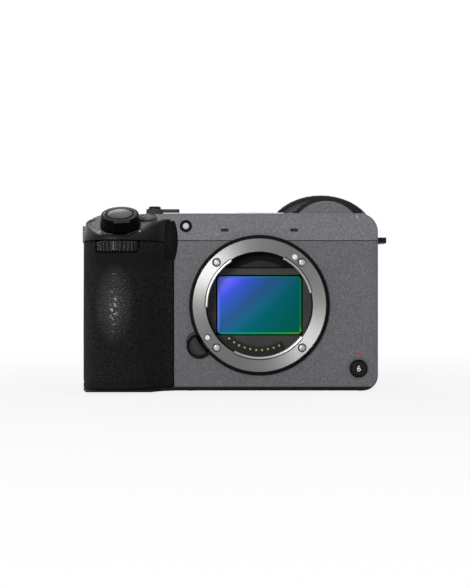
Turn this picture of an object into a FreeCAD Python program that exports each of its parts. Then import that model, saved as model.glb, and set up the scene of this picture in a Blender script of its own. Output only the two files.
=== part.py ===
import FreeCAD, Part
import math
import os
import Sketcher
from FreeCAD import Placement, Rotation, Vector
from types import SimpleNamespace

# A compact cinema camera with a tilting viewfinder, in millimetres.
# The origin is the mouth of the tripod socket, on the base, straight below the lens axis.
# X runs to the port side (right in a front view), Y to the back, Z up.

doc = FreeCAD.newDocument("cinema_camera")
sheet = doc.addObject("Spreadsheet::Sheet", "Sizes")

SIZES = [
    # Casing
    ("body_left", 77.4, "lens axis to the grip side"),
    ("body_right", 51.4, "lens axis to the port side"),
    ("body_height", 76.8, "base to top plate"),
    ("front_face", 24.5, "tripod axis forward to the front face"),
    ("rear_face", 20.0, "tripod axis back to the rear face"),
    ("wall", 1.8, "casing wall"),
    ("corner_top", 8.0, "top corner radius, port side"),
    ("corner_base", 6.5, "bottom corner radius, port side"),
    ("corner_grip_top", 12.0, "top corner radius, grip side"),
    ("corner_grip_base", 5.2, "bottom corner radius, grip side"),
    ("edge_front", 1.2, "rounding of the front edge"),
    ("edge_rear", 3.0, "rounding of the rear edge"),
    ("base_thick", 1.6, "base plate thickness"),
    ("foot_height", 0.4, "moulded feet below the base"),
    ("foot_radius", 1.3, "moulded feet"),
    ("foot_left", 63.5, "lens axis to the grip-side feet"),
    ("foot_right", 36.4, "lens axis to the port-side feet"),
    ("foot_front", 15.0, "tripod axis forward to the front feet"),
    ("foot_rear", 12.5, "tripod axis back to the rear feet"),
    ("seam_height", 64.9, "joint of the top cover and the lower covers"),
    ("front_depth", 14.0, "depth of the front cover"),
    ("slit", 0.3, "gap between neighbouring pieces"),
    # Grip
    ("grip_right", 37.0, "lens axis to the grip's inner edge"),
    ("grip_rear", 2.0, "tripod axis back to the end of the grip skin"),
    ("grip_front", 46.0, "tripod axis forward to the grip's crest"),
    ("grip_taper", 0.12, "draw-in of the grip's outer side, per mm forward"),
    ("nose_slope", 5.0, "rise of the base under the grip's nose, degrees"),
    ("skin", 1.4, "rubber skin thickness"),
    ("glue", 0.1, "glue line under the skin"),
    ("frame_wall", 1.3, "grip frame wall"),
    ("band_base", 64.2, "top of the skin and foot of the smooth band"),
    ("band_lip", 66.6, "height of the band's lip ahead of the deck"),
    # Sloping deck
    ("deck_tilt", 28.0, "forward slope of the deck, degrees"),
    ("deck_front", 31.5, "tripod axis forward to the zoom lever's foot"),
    ("deck_height", 70.5, "height of the zoom lever's foot"),
    ("deck_right", 41.5, "lens axis to the deck's inner edge"),
    # Lens mount
    ("axis_height", 37.0, "base to lens axis"),
    ("flange_stand", 3.5, "flange plane in front of the front face"),
    ("throat_radius", 23.05, "bore of the lens mount"),
    ("lip_length", 2.5, "length of the bore's front lip"),
    ("undercut_radius", 23.6, "bore behind the lip"),
    ("flange_radius", 28.66, "steel ring, outside"),
    ("flange_thick", 1.8, "steel ring, thickness of the rim"),
    ("spigot_depth", 1.5, "steel ring's spigot behind the front face"),
    ("tab_radius", 22.2, "bayonet tabs, inside"),
    ("tab_thick", 1.0, "bayonet tabs, thickness"),
    ("collar_radius", 30.3, "black ring, outside"),
    ("collar_step", 1.3, "black ring, height of the lower step"),
    ("collar_height", 2.7, "black ring, full height"),
    ("collar_bore", 24.7, "black ring, inside"),
    ("collar_spigot", 27.4, "black ring, spigot through the front cover"),
    ("screw_circle", 25.95, "circle of the mount screws"),
    ("screw_head", 1.75, "screw head radius"),
    ("screw_shank", 0.8, "screw shank radius"),
    ("screw_long", 8.5, "screw shank length"),
    ("release_left", 26.0, "lens axis to the release button"),
    ("release_down", 17.6, "lens axis down to the release button"),
    ("release_radius", 4.2, "lens release button"),
    ("release_rim", 5.45, "rim round the release button, outside"),
    ("lock_left", 22.2, "lens axis to the lock pin"),
    ("lock_down", 13.9, "lens axis down to the lock pin"),
    ("lock_radius", 1.1, "lock pin"),
    ("lock_stand", 0.9, "lock pin in front of the flange"),
    ("contact_circle", 19.6, "circle of the contact pins"),
    ("contact_radius", 0.45, "contact pin"),
    ("contact_face", 4.0, "contact block's face behind the front face"),
    ("contact_stand", 0.9, "contact pins in front of their block"),
    ("chassis_face", 2.2, "chassis plate behind the front face"),
    ("chassis_thick", 2.5, "chassis plate"),
    ("chamber_radius", 22.9, "light chamber, inside"),
    # Shutter and sensor
    ("flange_distance", 18.0, "flange plane back to the sensor plane"),
    ("shutter_front", 16.6, "tripod axis forward to the shutter frame"),
    ("shutter_thick", 3.0, "shutter frame"),
    ("gate_half_width", 19.2, "shutter opening"),
    ("gate_half_height", 13.4, "shutter opening"),
    ("blade_height", 14.4, "shutter blade"),
    ("blade_half_width", 25.0, "shutter blade"),
    ("blade_thick", 0.3, "shutter blade"),
    ("glass_half_width", 18.55, "sensor cover glass"),
    ("glass_half_height", 12.8, "sensor cover glass"),
    ("glass_thick", 1.8, "sensor cover glass"),
    ("glass_cut", 1.1, "cut corners of the cover glass"),
    ("stabiliser_gap", 0.3, "running gap between the stabiliser's plates"),
    # Inside
    ("battery_width", 22.7, "battery pack, across"),
    ("battery_depth", 38.7, "battery pack, front to back"),
    ("battery_tall", 51.7, "battery pack, height"),
    ("battery_left", 71.6, "lens axis to the battery's outer face"),
    ("battery_front", 32.0, "tripod axis forward to the battery"),
    ("battery_base", 3.2, "base to the battery"),
    ("fan_x", 26.0, "lens axis to the fan axis"),
    ("fan_radius", 9.8, "fan blades"),
    ("fan_front", 8.2, "tripod axis back to the fan blades"),
    ("fan_rear", 15.4, "tripod axis back to the end of the blades"),
    ("board_front", 1.0, "tripod axis back to the main board"),
    # Top controls
    ("zoom_x", 59.2, "lens axis to the zoom lever"),
    ("zoom_foot_radius", 8.6, "zoom lever, foot"),
    ("zoom_top_radius", 7.9, "zoom lever, top"),
    ("zoom_height", 5.8, "zoom lever, height"),
    ("tab_turn", 11.0, "degrees from straight ahead to the zoom lever's tab"),
    ("tab_half", 3.3, "half width of the zoom lever's tab"),
    ("tab_reach", 9.9, "zoom lever's axis out to the end of its tab"),
    ("tab_base", 2.4, "deck up to the zoom lever's tab"),
    ("shutter_radius", 6.1, "shutter button"),
    ("shutter_travel", 1.2, "shutter button stroke"),
    ("deck_button_x", 48.2, "lens axis to the deck button"),
    ("deck_button_up", 8.4, "deck button, up the slope from the zoom lever"),
    ("deck_button_radius", 2.65, "deck button"),
    ("power_x", 47.0, "lens axis to the power lever"),
    ("power_front", 5.0, "tripod axis forward to the power lever"),
    ("power_radius", 3.8, "power lever hub"),
    ("power_reach", 11.0, "power lever arm"),
    ("power_stand", 3.2, "power lever above the top plate"),
    ("top_button_x", 61.5, "lens axis to the top button"),
    ("top_button_front", 6.0, "tripod axis forward to the top button"),
    ("top_button_radius", 2.75, "top button"),
    ("top_button_stand", 4.1, "top button above the top plate"),
    ("button_travel", 0.7, "stroke of the small buttons"),
    ("front_dial_x", 59.9, "lens axis to the front dial"),
    ("front_dial_front", 34.3, "tripod axis forward to the front dial"),
    ("front_dial_radius", 9.8, "front dial"),
    ("front_dial_base", 59.4, "height of the front dial"),
    ("front_dial_thick", 4.4, "front dial"),
    ("rear_dial_x", 61.0, "lens axis to the rear dial"),
    ("rear_dial_back", 12.4, "tripod axis back to the rear dial"),
    ("rear_dial_radius", 9.2, "rear dial"),
    ("rear_dial_base", 69.4, "height of the rear dial"),
    ("rear_dial_thick", 4.2, "rear dial"),
    ("lamp_x", 31.8, "lens axis to the front lamp"),
    ("lamp_height", 71.2, "front lamp"),
    ("lamp_radius", 2.55, "front lamp"),
    ("mic_x", 15.0, "lens axis to each microphone slot"),
    ("mic_height", 69.5, "microphone slots"),
    ("mic_half_width", 1.75, "microphone slots"),
    ("mic_radius", 0.7, "microphone slots"),
    ("record_x", 43.0, "lens axis to the front record button"),
    ("record_height", 9.5, "front record button"),
    ("record_radius", 3.65, "front record button"),
    ("record_dish", 5.3, "dish round the record button"),
    # Accessory shoe and threads
    ("shoe_front", 8.5, "tripod axis forward to the shoe"),
    ("shoe_rear", 12.0, "tripod axis back to the shoe's mouth"),
    ("shoe_half_width", 10.8, "shoe, outside"),
    ("shoe_slot_half", 9.35, "shoe, slot under the lips"),
    ("shoe_gap_half", 6.25, "shoe, gap between the lips"),
    ("shoe_floor", 75.2, "height of the shoe's floor"),
    ("shoe_slot_height", 2.1, "shoe, slot under the lips"),
    ("shoe_lip", 1.0, "shoe, lip thickness"),
    ("thread_radius", 3.175, "quarter-inch thread"),
    ("thread_depth", 6.0, "depth of each threaded bush"),
    ("bush_radius", 5.2, "threaded bushes"),
    ("bush_left", 26.0, "lens axis to the grip-side bush"),
    ("bush_right", 38.0, "lens axis to the port-side bush"),
    ("bush_front", 10.0, "tripod axis forward to the top bushes"),
    # Viewfinder
    ("finder_x", 30.8, "lens axis to the viewfinder axis"),
    ("finder_height", 68.3, "height of the dome's centre"),
    ("finder_radius", 18.6, "viewfinder dome"),
    ("finder_cap_radius", 16.8, "viewfinder front cap"),
    ("finder_base", 59.6, "underside of the viewfinder"),
    ("finder_front", 7.0, "tripod axis back to the viewfinder"),
    ("finder_rear", 38.0, "tripod axis back to the eyecup's seat"),
    ("finder_wall", 2.0, "viewfinder wall"),
    ("finder_pivot_back", 7.2, "tripod axis back to the tilt axis"),
    ("finder_pivot_rise", 9.3, "dome's centre up to the tilt axis"),
    ("finder_pin", 1.0, "tilt pins"),
    ("cup_rear", 57.7, "tripod axis back to the eyecup's rim"),
    ("cup_half_width", 27.0, "eyecup rim"),
    ("cup_half_height", 20.0, "eyecup rim"),
    ("cup_centre", 72.4, "height of the eyecup rim's centre"),
    ("cup_wall", 2.2, "eyecup wall"),
    ("eyepiece_radius", 8.2, "eyepiece lens"),
    ("diopter_back", 27.0, "tripod axis back to the diopter dial"),
    ("diopter_height", 70.0, "diopter dial"),
    ("diopter_radius", 4.2, "diopter dial"),
    # Monitor
    ("screen_left", 29.5, "lens axis to the monitor's free edge"),
    ("screen_right", 43.0, "lens axis to the monitor's hinge edge"),
    ("screen_base", 4.5, "base to the monitor"),
    ("screen_top", 50.4, "top of the monitor"),
    ("screen_front", 21.4, "tripod axis back to the monitor"),
    ("screen_rear", 31.0, "tripod axis back to the screen"),
    ("screen_bezel", 3.4, "frame round the glass"),
    ("screen_glass", 0.8, "screen glass thickness"),
    ("swing_x", 47.5, "lens axis to the swing axis"),
    ("swing_back", 26.0, "tripod axis back to the swing axis"),
    ("swing_pin", 1.5, "swing pins"),
    ("swing_half", 3.9, "half size of the hinge block"),
    ("swing_base", 12.0, "base to the hinge block"),
    ("swing_top", 43.0, "top of the hinge block"),
    # Rear controls
    ("wheel_x", 46.0, "lens axis to the control wheel"),
    ("wheel_height", 29.0, "control wheel"),
    ("wheel_radius", 10.6, "control wheel"),
    ("centre_radius", 4.2, "centre button"),
    ("stick_x", 40.5, "lens axis to the joystick"),
    ("stick_height", 50.5, "joystick"),
    ("stick_radius", 3.4, "joystick cap"),
    ("focus_x", 49.0, "lens axis to the focus button"),
    ("focus_height", 60.5, "focus button"),
    ("menu_x", 36.5, "lens axis to the menu button"),
    ("menu_height", 60.5, "menu button"),
    ("play_x", 38.5, "lens axis to the playback button"),
    ("play_height", 11.5, "playback button"),
    ("rear_button_radius", 2.9, "rear buttons"),
    ("thumb_rise", 4.5, "thumb rest behind the rear face"),
    # Doors
    ("door_thick", 1.4, "side doors"),
    ("door_inset", 0.7, "hinge axis in from the door's edge and face"),
    ("door_swing_gap", 0.45, "gap at a door's hinge edge"),
    ("door_pin", 0.42, "door hinge pins"),
    ("card_front", 5.0, "tripod axis back to the card door"),
    ("card_rear", 16.6, "tripod axis back to the card door's free edge"),
    ("card_base", 14.0, "card door"),
    ("card_top", 52.0, "card door"),
    ("port_front", 8.0, "tripod axis forward to the port door"),
    ("port_rear", 7.6, "tripod axis back to the port door's free edge"),
    ("port_base", 9.0, "port door"),
    ("port_top", 56.0, "port door"),
    ("port_split", 32.0, "joint of the two port doors"),
    ("bay_left", 72.1, "lens axis to the battery door's free edge"),
    ("bay_right", 48.7, "lens axis to the battery door's hinge edge"),
    ("bay_front", 33.0, "tripod axis forward to the battery door"),
    ("bay_rear", 8.0, "tripod axis back to the battery door"),
    ("bay_pin", 0.5, "battery door pins"),
    # Strap lugs
    ("lug_reach", 4.7, "port-side lug beyond the casing"),
    ("lug_back", 8.0, "tripod axis forward to the port-side lug"),
    ("lug_half", 5.5, "half length of the port-side lug"),
    ("lug_bar", 2.4, "port-side lug, outer bar"),
    ("lug_height", 65.7, "port-side lug"),
    ("side_lug_reach", 3.7, "grip-side lug beyond the casing"),
    ("side_lug_base", 60.4, "grip-side lug"),
    ("side_lug_top", 73.2, "grip-side lug"),
    ("side_lug_back", 7.5, "tripod axis back to the grip-side lug"),
]
for row, (alias, value, meaning) in enumerate(SIZES, 1):
    sheet.set(f"A{row}", meaning)
    sheet.set(f"B{row}", str(value))
    sheet.setAlias(f"B{row}", alias)
doc.recompute()


class Size:
    """A length: its value, and the sheet expression that drives it."""

    def __init__(self, value, text):
        self.value = float(value)
        self.text = text

    def __add__(self, other):
        return Size(self.value + number(other), f"({self.text} + {wording(other)})")

    def __radd__(self, other):
        return Size(number(other) + self.value, f"({wording(other)} + {self.text})")

    def __sub__(self, other):
        return Size(self.value - number(other), f"({self.text} - {wording(other)})")

    def __rsub__(self, other):
        return Size(number(other) - self.value, f"({wording(other)} - {self.text})")

    def __mul__(self, other):
        return Size(self.value * number(other), f"({self.text} * {wording(other)})")

    def __rmul__(self, other):
        return self * other

    def __truediv__(self, other):
        return Size(self.value / number(other), f"({self.text} / {wording(other)})")

    def __neg__(self):
        return Size(-self.value, f"(0 - {self.text})")


def number(amount):
    return amount.value if isinstance(amount, Size) else float(amount)


def wording(amount):
    return amount.text if isinstance(amount, Size) else f"({amount})"


def sine(angle):
    return Size(math.sin(math.radians(number(angle))), f"sin({wording(angle)})")


def cosine(angle):
    return Size(math.cos(math.radians(number(angle))), f"cos({wording(angle)})")


S = SimpleNamespace(**{row[0]: Size(sheet.get(row[0]), "Sizes." + row[0]) for row in SIZES})
NODES = {}


def bind(thing, prop, amount):
    thing.setExpression(prop, wording(amount))


# Directions as rotations that turn a piece's own Z axis
UP = Rotation()
FORWARD = Rotation(Vector(1, 0, 0), 90)
BACKWARD = Rotation(Vector(1, 0, 0), -90)
PORT = Rotation(Vector(0, 1, 0), 90)


def place(thing, where, turn=UP):
    thing.Placement = Placement(Vector(*[number(w) for w in where]), turn)
    for axis, amount in zip("xyz", where):
        bind(thing, f"Placement.Base.{axis}", amount)
    return thing


def deck_point(across, along, above):
    """A place over the sloping deck, measured from the zoom lever's foot."""
    return (
        -S.zoom_x + across,
        -S.deck_front + along * cosine(S.deck_tilt) - above * sine(S.deck_tilt),
        S.deck_height + along * sine(S.deck_tilt) + above * cosine(S.deck_tilt),
    )


def on_deck(thing, across=0, along=0, above=0):
    """Stands a piece on the sloping deck, measured from the zoom lever's foot."""
    place(thing, deck_point(across, along, above), Rotation(Vector(1, 0, 0), 10))
    bind(thing, "Placement.Rotation.Angle", S.deck_tilt)
    return thing


def on_tab(thing, across, along, above):
    """Stands a piece on the deck as on_deck does, turned with the zoom lever's tab."""
    turn = Rotation(Vector(1, 0, 0), number(S.deck_tilt)) * Rotation(Vector(0, 0, 1), number(S.tab_turn))
    return place(thing, deck_point(
        across * cosine(S.tab_turn) - along * sine(S.tab_turn),
        across * sine(S.tab_turn) + along * cosine(S.tab_turn),
        above,
    ), turn)


def box(name, x, y, z):
    thing = doc.addObject("Part::Box", name)
    for prop, span in zip(("Length", "Width", "Height"), (x, y, z)):
        bind(thing, prop, span[1] - span[0])
    return place(thing, (x[0], y[0], z[0]))


def rod(name, radius, length, where, turn=UP):
    thing = doc.addObject("Part::Cylinder", name)
    bind(thing, "Radius", radius)
    bind(thing, "Height", length)
    return place(thing, where, turn)


def taper(name, radius, far_radius, length, where, turn=UP):
    thing = doc.addObject("Part::Cone", name)
    bind(thing, "Radius1", radius)
    bind(thing, "Radius2", far_radius)
    bind(thing, "Height", length)
    return place(thing, where, turn)


def fuse(name, *pieces):
    thing = doc.addObject("Part::MultiFuse", name)
    thing.Shapes = list(pieces)
    thing.Refine = True
    return thing


def cut(name, base, *tools):
    """Takes the tools out of the base, joined first where there are several."""
    thing = doc.addObject("Part::Cut", name)
    thing.Base = base
    thing.Tool = tools[0] if len(tools) == 1 else fuse(name + "_tools", *tools)
    thing.Refine = True
    return thing


def common(name, *pieces):
    thing = pieces[0]
    for index, other in enumerate(pieces[1:]):
        both = doc.addObject("Part::Common", f"{name}_{index}")
        both.Base = thing
        both.Tool = other
        both.Refine = True
        thing = both
    return thing


def sketch_of(body, name, points):
    """A closed outline of straight lines whose corners are bound to the sheet."""
    sketch = body.newObject("Sketcher::SketchObject", name)
    origin = [plane for plane in body.Origin.OriginFeatures if plane.Role == "XY_Plane"]
    sketch.AttachmentSupport = [(origin[0], "")]
    sketch.MapMode = "FlatFace"
    corners = [Vector(number(x), number(y), 0) for x, y in points]
    for start, end in zip(corners, corners[1:] + corners[:1]):
        sketch.addGeometry(Part.LineSegment(start, end))
    for line in range(len(points)):
        sketch.addConstraint(Sketcher.Constraint("Coincident", line, 2, (line + 1) % len(points), 1))
    for line, point in enumerate(points):
        for kind, amount in zip(("DistanceX", "DistanceY"), point):
            fixed = sketch.addConstraint(Sketcher.Constraint(kind, -1, 1, line, 1, number(amount)))
            sketch.setExpression(f"Constraints[{fixed}]", wording(amount))
    return sketch


def plate(name, points, thick, where=(0, 0, 0), turn=UP, corners=()):
    """A padded outline. Each of corners gives the radius of that corner of the outline, or None."""
    body = doc.addObject("PartDesign::Body", name)
    pad = None
    sketch = sketch_of(body, name + "_outline", points)
    pad = body.newObject("PartDesign::Pad", name + "_pad")
    pad.Profile = sketch
    bind(pad, "Length", thick)
    feature = pad
    for index, radius in enumerate(corners):
        if radius is None:
            continue
        doc.recompute()
        x, y = (number(amount) for amount in points[index])
        edge = edge_named(feature.Shape, lambda e: upright_at(e, x, y))
        fillet = body.newObject("PartDesign::Fillet", f"{name}_corner_{index}")
        fillet.Base = (feature, edge)
        bind(fillet, "Radius", radius)
        feature = fillet
    body.Tip = feature
    return place(body, where, turn)


def edge_named(shape, wanted):
    return [f"Edge{index}" for index, edge in enumerate(shape.Edges, 1) if wanted(edge)]


def upright_at(edge, x, y):
    ends = [vertex.Point for vertex in edge.Vertexes]
    return len(ends) == 2 and all(math.hypot(p.x - x, p.y - y) < 0.001 for p in ends)


def rounded(body, radius, wanted):
    """Adds a fillet to a body on the edges that a test picks."""
    doc.recompute()
    before = body.Tip
    fillet = body.newObject("PartDesign::Fillet", body.Name + "_round")
    fillet.Base = (before, edge_named(before.Shape, wanted))
    bind(fillet, "Radius", radius)
    body.Tip = fillet
    return body


def spin(name, points, where=(0, 0, 0), turn=UP, ribs=None):
    """A turned piece: its outline is given as radius and height along its own Z axis."""
    body = doc.addObject("PartDesign::Body", name)
    sketch = body.newObject("Sketcher::SketchObject", name + "_profile")
    origin = [plane for plane in body.Origin.OriginFeatures if plane.Role == "XZ_Plane"]
    sketch.AttachmentSupport = [(origin[0], "")]
    sketch.MapMode = "FlatFace"
    corners = [Vector(number(x), number(y), 0) for x, y in points]
    for start, end in zip(corners, corners[1:] + corners[:1]):
        sketch.addGeometry(Part.LineSegment(start, end))
    for line in range(len(points)):
        sketch.addConstraint(Sketcher.Constraint("Coincident", line, 2, (line + 1) % len(points), 1))
    for line, point in enumerate(points):
        for kind, amount in zip(("DistanceX", "DistanceY"), point):
            fixed = sketch.addConstraint(Sketcher.Constraint(kind, -1, 1, line, 1, number(amount)))
            sketch.setExpression(f"Constraints[{fixed}]", wording(amount))
    turned = body.newObject("PartDesign::Revolution", name + "_turned")
    turned.Profile = sketch
    turned.ReferenceAxis = (sketch, ["V_Axis"])
    turned.Angle = 360
    body.Tip = turned
    if ribs:
        ribbed(body, *ribs)
    return place(body, where, turn)


def ribbed(body, radius, groove, count):
    """Cuts evenly spaced grooves down the side of a turned body."""
    sketch = body.newObject("Sketcher::SketchObject", body.Name + "_groove")
    origin = [plane for plane in body.Origin.OriginFeatures if plane.Role == "XY_Plane"]
    sketch.AttachmentSupport = [(origin[0], "")]
    sketch.MapMode = "FlatFace"
    sketch.addGeometry(Part.Circle(Vector(number(radius), 0, 0), Vector(0, 0, 1), number(groove)))
    sketch.addConstraint(Sketcher.Constraint("PointOnObject", 0, 3, -1))
    reach = sketch.addConstraint(Sketcher.Constraint("DistanceX", -1, 1, 0, 3, number(radius)))
    sketch.setExpression(f"Constraints[{reach}]", wording(radius))
    size = sketch.addConstraint(Sketcher.Constraint("Radius", 0, number(groove)))
    sketch.setExpression(f"Constraints[{size}]", wording(groove))
    pocket = body.newObject("PartDesign::Pocket", body.Name + "_cut")
    pocket.Profile = sketch
    pocket.Type = "ThroughAll"
    pocket.Midplane = True
    pattern = body.newObject("PartDesign::PolarPattern", body.Name + "_ring")
    pattern.Originals = [pocket]
    axis = [line for line in body.Origin.OriginFeatures if line.Role == "Z_Axis"]
    pattern.Axis = (axis[0], [""])
    pattern.Angle = 360
    pattern.Occurrences = count
    body.Tip = pattern


def ring(name, inside, outside, length, where, turn=UP):
    return spin(name, [(inside, 0), (outside, 0), (outside, length), (inside, length)], where, turn)


def node(name, thing):
    NODES[name] = thing
    return thing


def solid(name, shape):
    """A free-form piece whose shape is worked out here."""
    thing = doc.addObject("Part::Feature", name)
    thing.Shape = shape
    return thing


# Casing blocks: the rounded silhouette of the body, seen from the front

def block(name, inset, front, rear):
    left = -S.body_left + inset
    right = S.body_right - inset
    top = S.body_height - inset
    outline = [(left, inset), (right, inset), (right, top), (left, top)]
    radii = (S.corner_grip_base - inset, S.corner_base - inset, S.corner_top - inset,
             S.corner_grip_top - inset)
    return plate(name, outline, rear - front, (0, rear, 0), FORWARD, radii)


def on_level(edge, level):
    ends = [vertex.Point for vertex in edge.Vertexes]
    return len(ends) > 0 and all(abs(point.z - level) < 0.001 for point in ends)


SHELL_DEPTH = S.rear_face + S.front_face
outer = block("casing", 0, -S.front_face, S.rear_face)
rounded(outer, S.edge_front, lambda edge: on_level(edge, number(SHELL_DEPTH)))
rounded(outer, S.edge_rear, lambda edge: on_level(edge, 0))
core = block("casing_core", S.wall, -S.front_face + S.wall, S.rear_face - S.wall)

# Grip: a swelling shape through level outlines

GRIP_LEVELS = [
    # share of the body height, then how far the crest and the outer side draw in, in mm
    (-0.01, 1.8, 0.0),
    (0.12, 0.8, 0.0),
    (0.25, 0.2, 0.0),
    (0.38, 0.1, 0.0),
    (0.51, 0.9, 0.0),
    (0.64, 2.2, 0.0),
    (0.76, 3.0, 0.0),
    (0.83, 4.2, 0.0),
    (0.90, 7.6, 0.3),
    (0.97, 12.6, 1.2),
]
GRIP_OUTLINE = [
    # share of the way from the inner edge to the outer side, share of the depth
    (0.0, 0.0),
    (0.105, 0.11),
    (0.27, 0.62),
    (0.44, 0.95),
    (0.60, 1.0),
    (0.775, 0.87),
    (0.908, 0.52),
    (0.955, 0.10),
]
TRIM = 80.0


def drawn_in(name, form, inset):
    """A casing form whose grip side draws in towards the front, as the grip's own side does."""
    along, forward = GRIP_OUTLINE[-1]
    wedge = box(name + "_wedge", (0, TRIM), (0, TRIM * 2), (0, TRIM * 2))
    place(wedge, (
        -S.grip_right - (S.body_left - S.grip_right) * along - S.grip_taper * TRIM + inset,
        -S.front_face - (S.grip_front - S.front_face) * forward + TRIM,
        -TRIM / 2,
    ), Rotation(Vector(0, 0, 1), 180 + math.degrees(math.atan(number(S.grip_taper)))))
    return cut(name, form, wedge)


outer = drawn_in("casing_drawn_in", outer, 0)
core = drawn_in("core_drawn_in", core, S.wall)


def grip_level(height, crest_in, side_in, inset, rear):
    """One closed level outline of the grip, drawn in by inset."""
    width = number(S.body_left) - number(S.grip_right) - side_in
    depth = number(S.grip_front) - crest_in - number(S.front_face)
    points = []
    for along, forward in GRIP_OUTLINE:
        points.append(Vector(-number(S.grip_right) - along * width,
                             -number(S.front_face) - forward * depth, height))
    curve = Part.BSplineCurve()
    curve.interpolate(Points=points)
    moved = []
    for point in points:
        tangent = curve.tangent(curve.parameter(point))[0]
        moved.append(point + Vector(-tangent.y, tangent.x, 0) * -inset)
    inner = Part.BSplineCurve()
    inner.interpolate(Points=moved)
    start = moved[0]
    end = moved[-1]
    back_outer = Vector(end.x - number(S.grip_taper) * (rear - end.y), rear, height)
    back_inner = Vector(start.x, rear, height)
    return Part.Wire([
        inner.toShape(),
        Part.LineSegment(end, back_outer).toShape(),
        Part.LineSegment(back_outer, back_inner).toShape(),
        Part.LineSegment(back_inner, start).toShape(),
    ])


def grip_form(name, inset, rear):
    """The grip drawn in by inset on every side, trimmed to the body's rounded silhouette."""
    levels = []
    for share, crest_in, side_in in GRIP_LEVELS:
        levels.append(grip_level(share * number(S.body_height), crest_in, side_in,
                                 number(inset), number(rear)))
    swell = solid(name + "_swell", Part.makeLoft(levels, True, False, False, 3))
    silhouette = block(name + "_silhouette", inset, -S.grip_front - 10, S.rear_face)
    return common(name, swell, silhouette)


def above_deck(name, right, lift=0):
    """Everything over the slope, lifted along its normal, out to the grip side of an edge."""
    thing = box(name, (0, TRIM), (0, TRIM * 2), (0, TRIM))
    return on_deck(thing, S.zoom_x - right - TRIM, -TRIM, lift)


NEAR = S.slit / 2
FAR_LEFT = -S.body_left - 10
FAR_RIGHT = S.body_right + 10
FRONT = -S.front_face
REAR = S.rear_face
BAND_WALL = S.skin + S.slit
grip_outer = grip_form("grip_outer", 0, S.grip_rear)
grip_bed = grip_form("grip_bed", S.skin, S.grip_rear)
grip_hard = grip_form("grip_hard", S.skin + S.glue, S.grip_rear)
grip_hollow = grip_form("grip_hollow", S.skin + S.glue + S.frame_wall, S.rear_face)
deck_outer = grip_form("deck_outer", BAND_WALL, -S.front_face + S.wall)

# Pockets that the finder, the shoe and the threaded bushes need in the casing

FINDER_PLAY = 0.4


def finder_pocket(name, grow):
    play = FINDER_PLAY + grow
    start = S.finder_front - play
    reach = S.finder_radius + play
    tube = rod(name + "_tube", reach, TRIM, (S.finder_x, start, S.finder_height), BACKWARD)
    over_base = box(name + "_over", (S.finder_x - reach, S.finder_x + reach), (start, TRIM),
                    (S.finder_base - play, TRIM + 10))
    lower = common(name + "_lower", tube, over_base)
    upper = box(name + "_upper", (S.finder_x - reach, S.finder_x + reach), (start, TRIM),
                (S.finder_height, TRIM + 10))
    return fuse(name, lower, upper)


def shoe_pocket(name, grow):
    return box(name, (-S.shoe_half_width - grow, S.shoe_half_width + grow),
               (-S.shoe_front - grow, S.shoe_rear + grow + 0.4), (S.shoe_floor - 1.2 - grow, TRIM + 10))


BUSHES = [(-S.bush_left, -S.bush_front), (S.bush_right, -S.bush_front)]


def top_bush_bores(name, radius, depth):
    return [rod(f"{name}_{index}", radius, depth + 1, (x, y, S.body_height - depth))
            for index, (x, y) in enumerate(BUSHES)]


finder_room = finder_pocket("finder_pocket", 0)
finder_walls = finder_pocket("finder_pocket_walls", S.wall)
shoe_room = shoe_pocket("shoe_pocket", 0)
shoe_walls = shoe_pocket("shoe_pocket_walls", S.wall)
over_slope_body = above_deck("over_slope_body", S.deck_right)
over_slope_grip = common("over_slope_grip", above_deck("over_slope", S.grip_right - 2),
                         box("ahead_of_body", (FAR_LEFT, 0), (-TRIM, FRONT), (0, TRIM + 10)))

shell_form = cut("shell_form", fuse("casing_and_deck", outer, deck_outer), over_slope_body, over_slope_grip)
deck_core = grip_form("deck_core", BAND_WALL + S.wall, -S.front_face + S.wall + 1)
core_foot = box("core_foot", (-S.body_left + S.corner_grip_base, S.body_right - S.corner_base),
                (FRONT + S.wall, REAR - S.wall), (-1, S.wall + 1))
core_form = cut("core_form", fuse("core_and_deck", core, deck_core, core_foot),
                above_deck("under_slope_body", S.deck_right - S.wall, -S.wall),
                common("under_slope_grip", above_deck("under_slope", S.grip_right - 2, -S.wall),
                       box("ahead_of_wall", (FAR_LEFT, 0), (-TRIM, FRONT + S.wall), (0, TRIM + 10))),
                finder_walls, shoe_walls,
                *top_bush_bores("bush_boss", S.bush_radius, S.thread_depth + S.wall))
shell = cut("shell", shell_form, core_form, finder_room, shoe_room)

# Regions that split the shell into covers

SEAM = S.seam_height
LOWER = (S.base_thick + NEAR, SEAM - NEAR)
FRONT_END = FRONT + S.front_depth
GRIP_EDGE = -S.grip_right + NEAR
GRIP_END = S.grip_rear + NEAR
top_region = box("top_region", (FAR_LEFT, FAR_RIGHT), (-TRIM, TRIM), (SEAM + NEAR, TRIM + 10))
front_region = box("front_region", (GRIP_EDGE, FAR_RIGHT), (FRONT - 1, FRONT_END - NEAR), LOWER)
rear_region = fuse("rear_region",
                   box("rear_main", (GRIP_EDGE, FAR_RIGHT), (FRONT_END + NEAR, REAR + 1), LOWER),
                   box("rear_grip", (FAR_LEFT, GRIP_EDGE), (GRIP_END, REAR + 1), LOWER))


# Base plate, with the tripod socket, feet, vents and the battery opening

floor = common("floor", fuse("floor_plan", outer, grip_outer),
               box("floor_low", (FAR_LEFT, FAR_RIGHT), (-TRIM, TRIM), (-1, S.base_thick)))
BAY_X = (-S.bay_left, -S.bay_right)
BAY_Y = (-S.bay_front, S.bay_rear)


def bay_opening(name, grow):
    return box(name, (BAY_X[0] - grow, BAY_X[1] + grow), (BAY_Y[0] - grow, BAY_Y[1] + grow),
               (-1, S.base_thick + 1))


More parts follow.
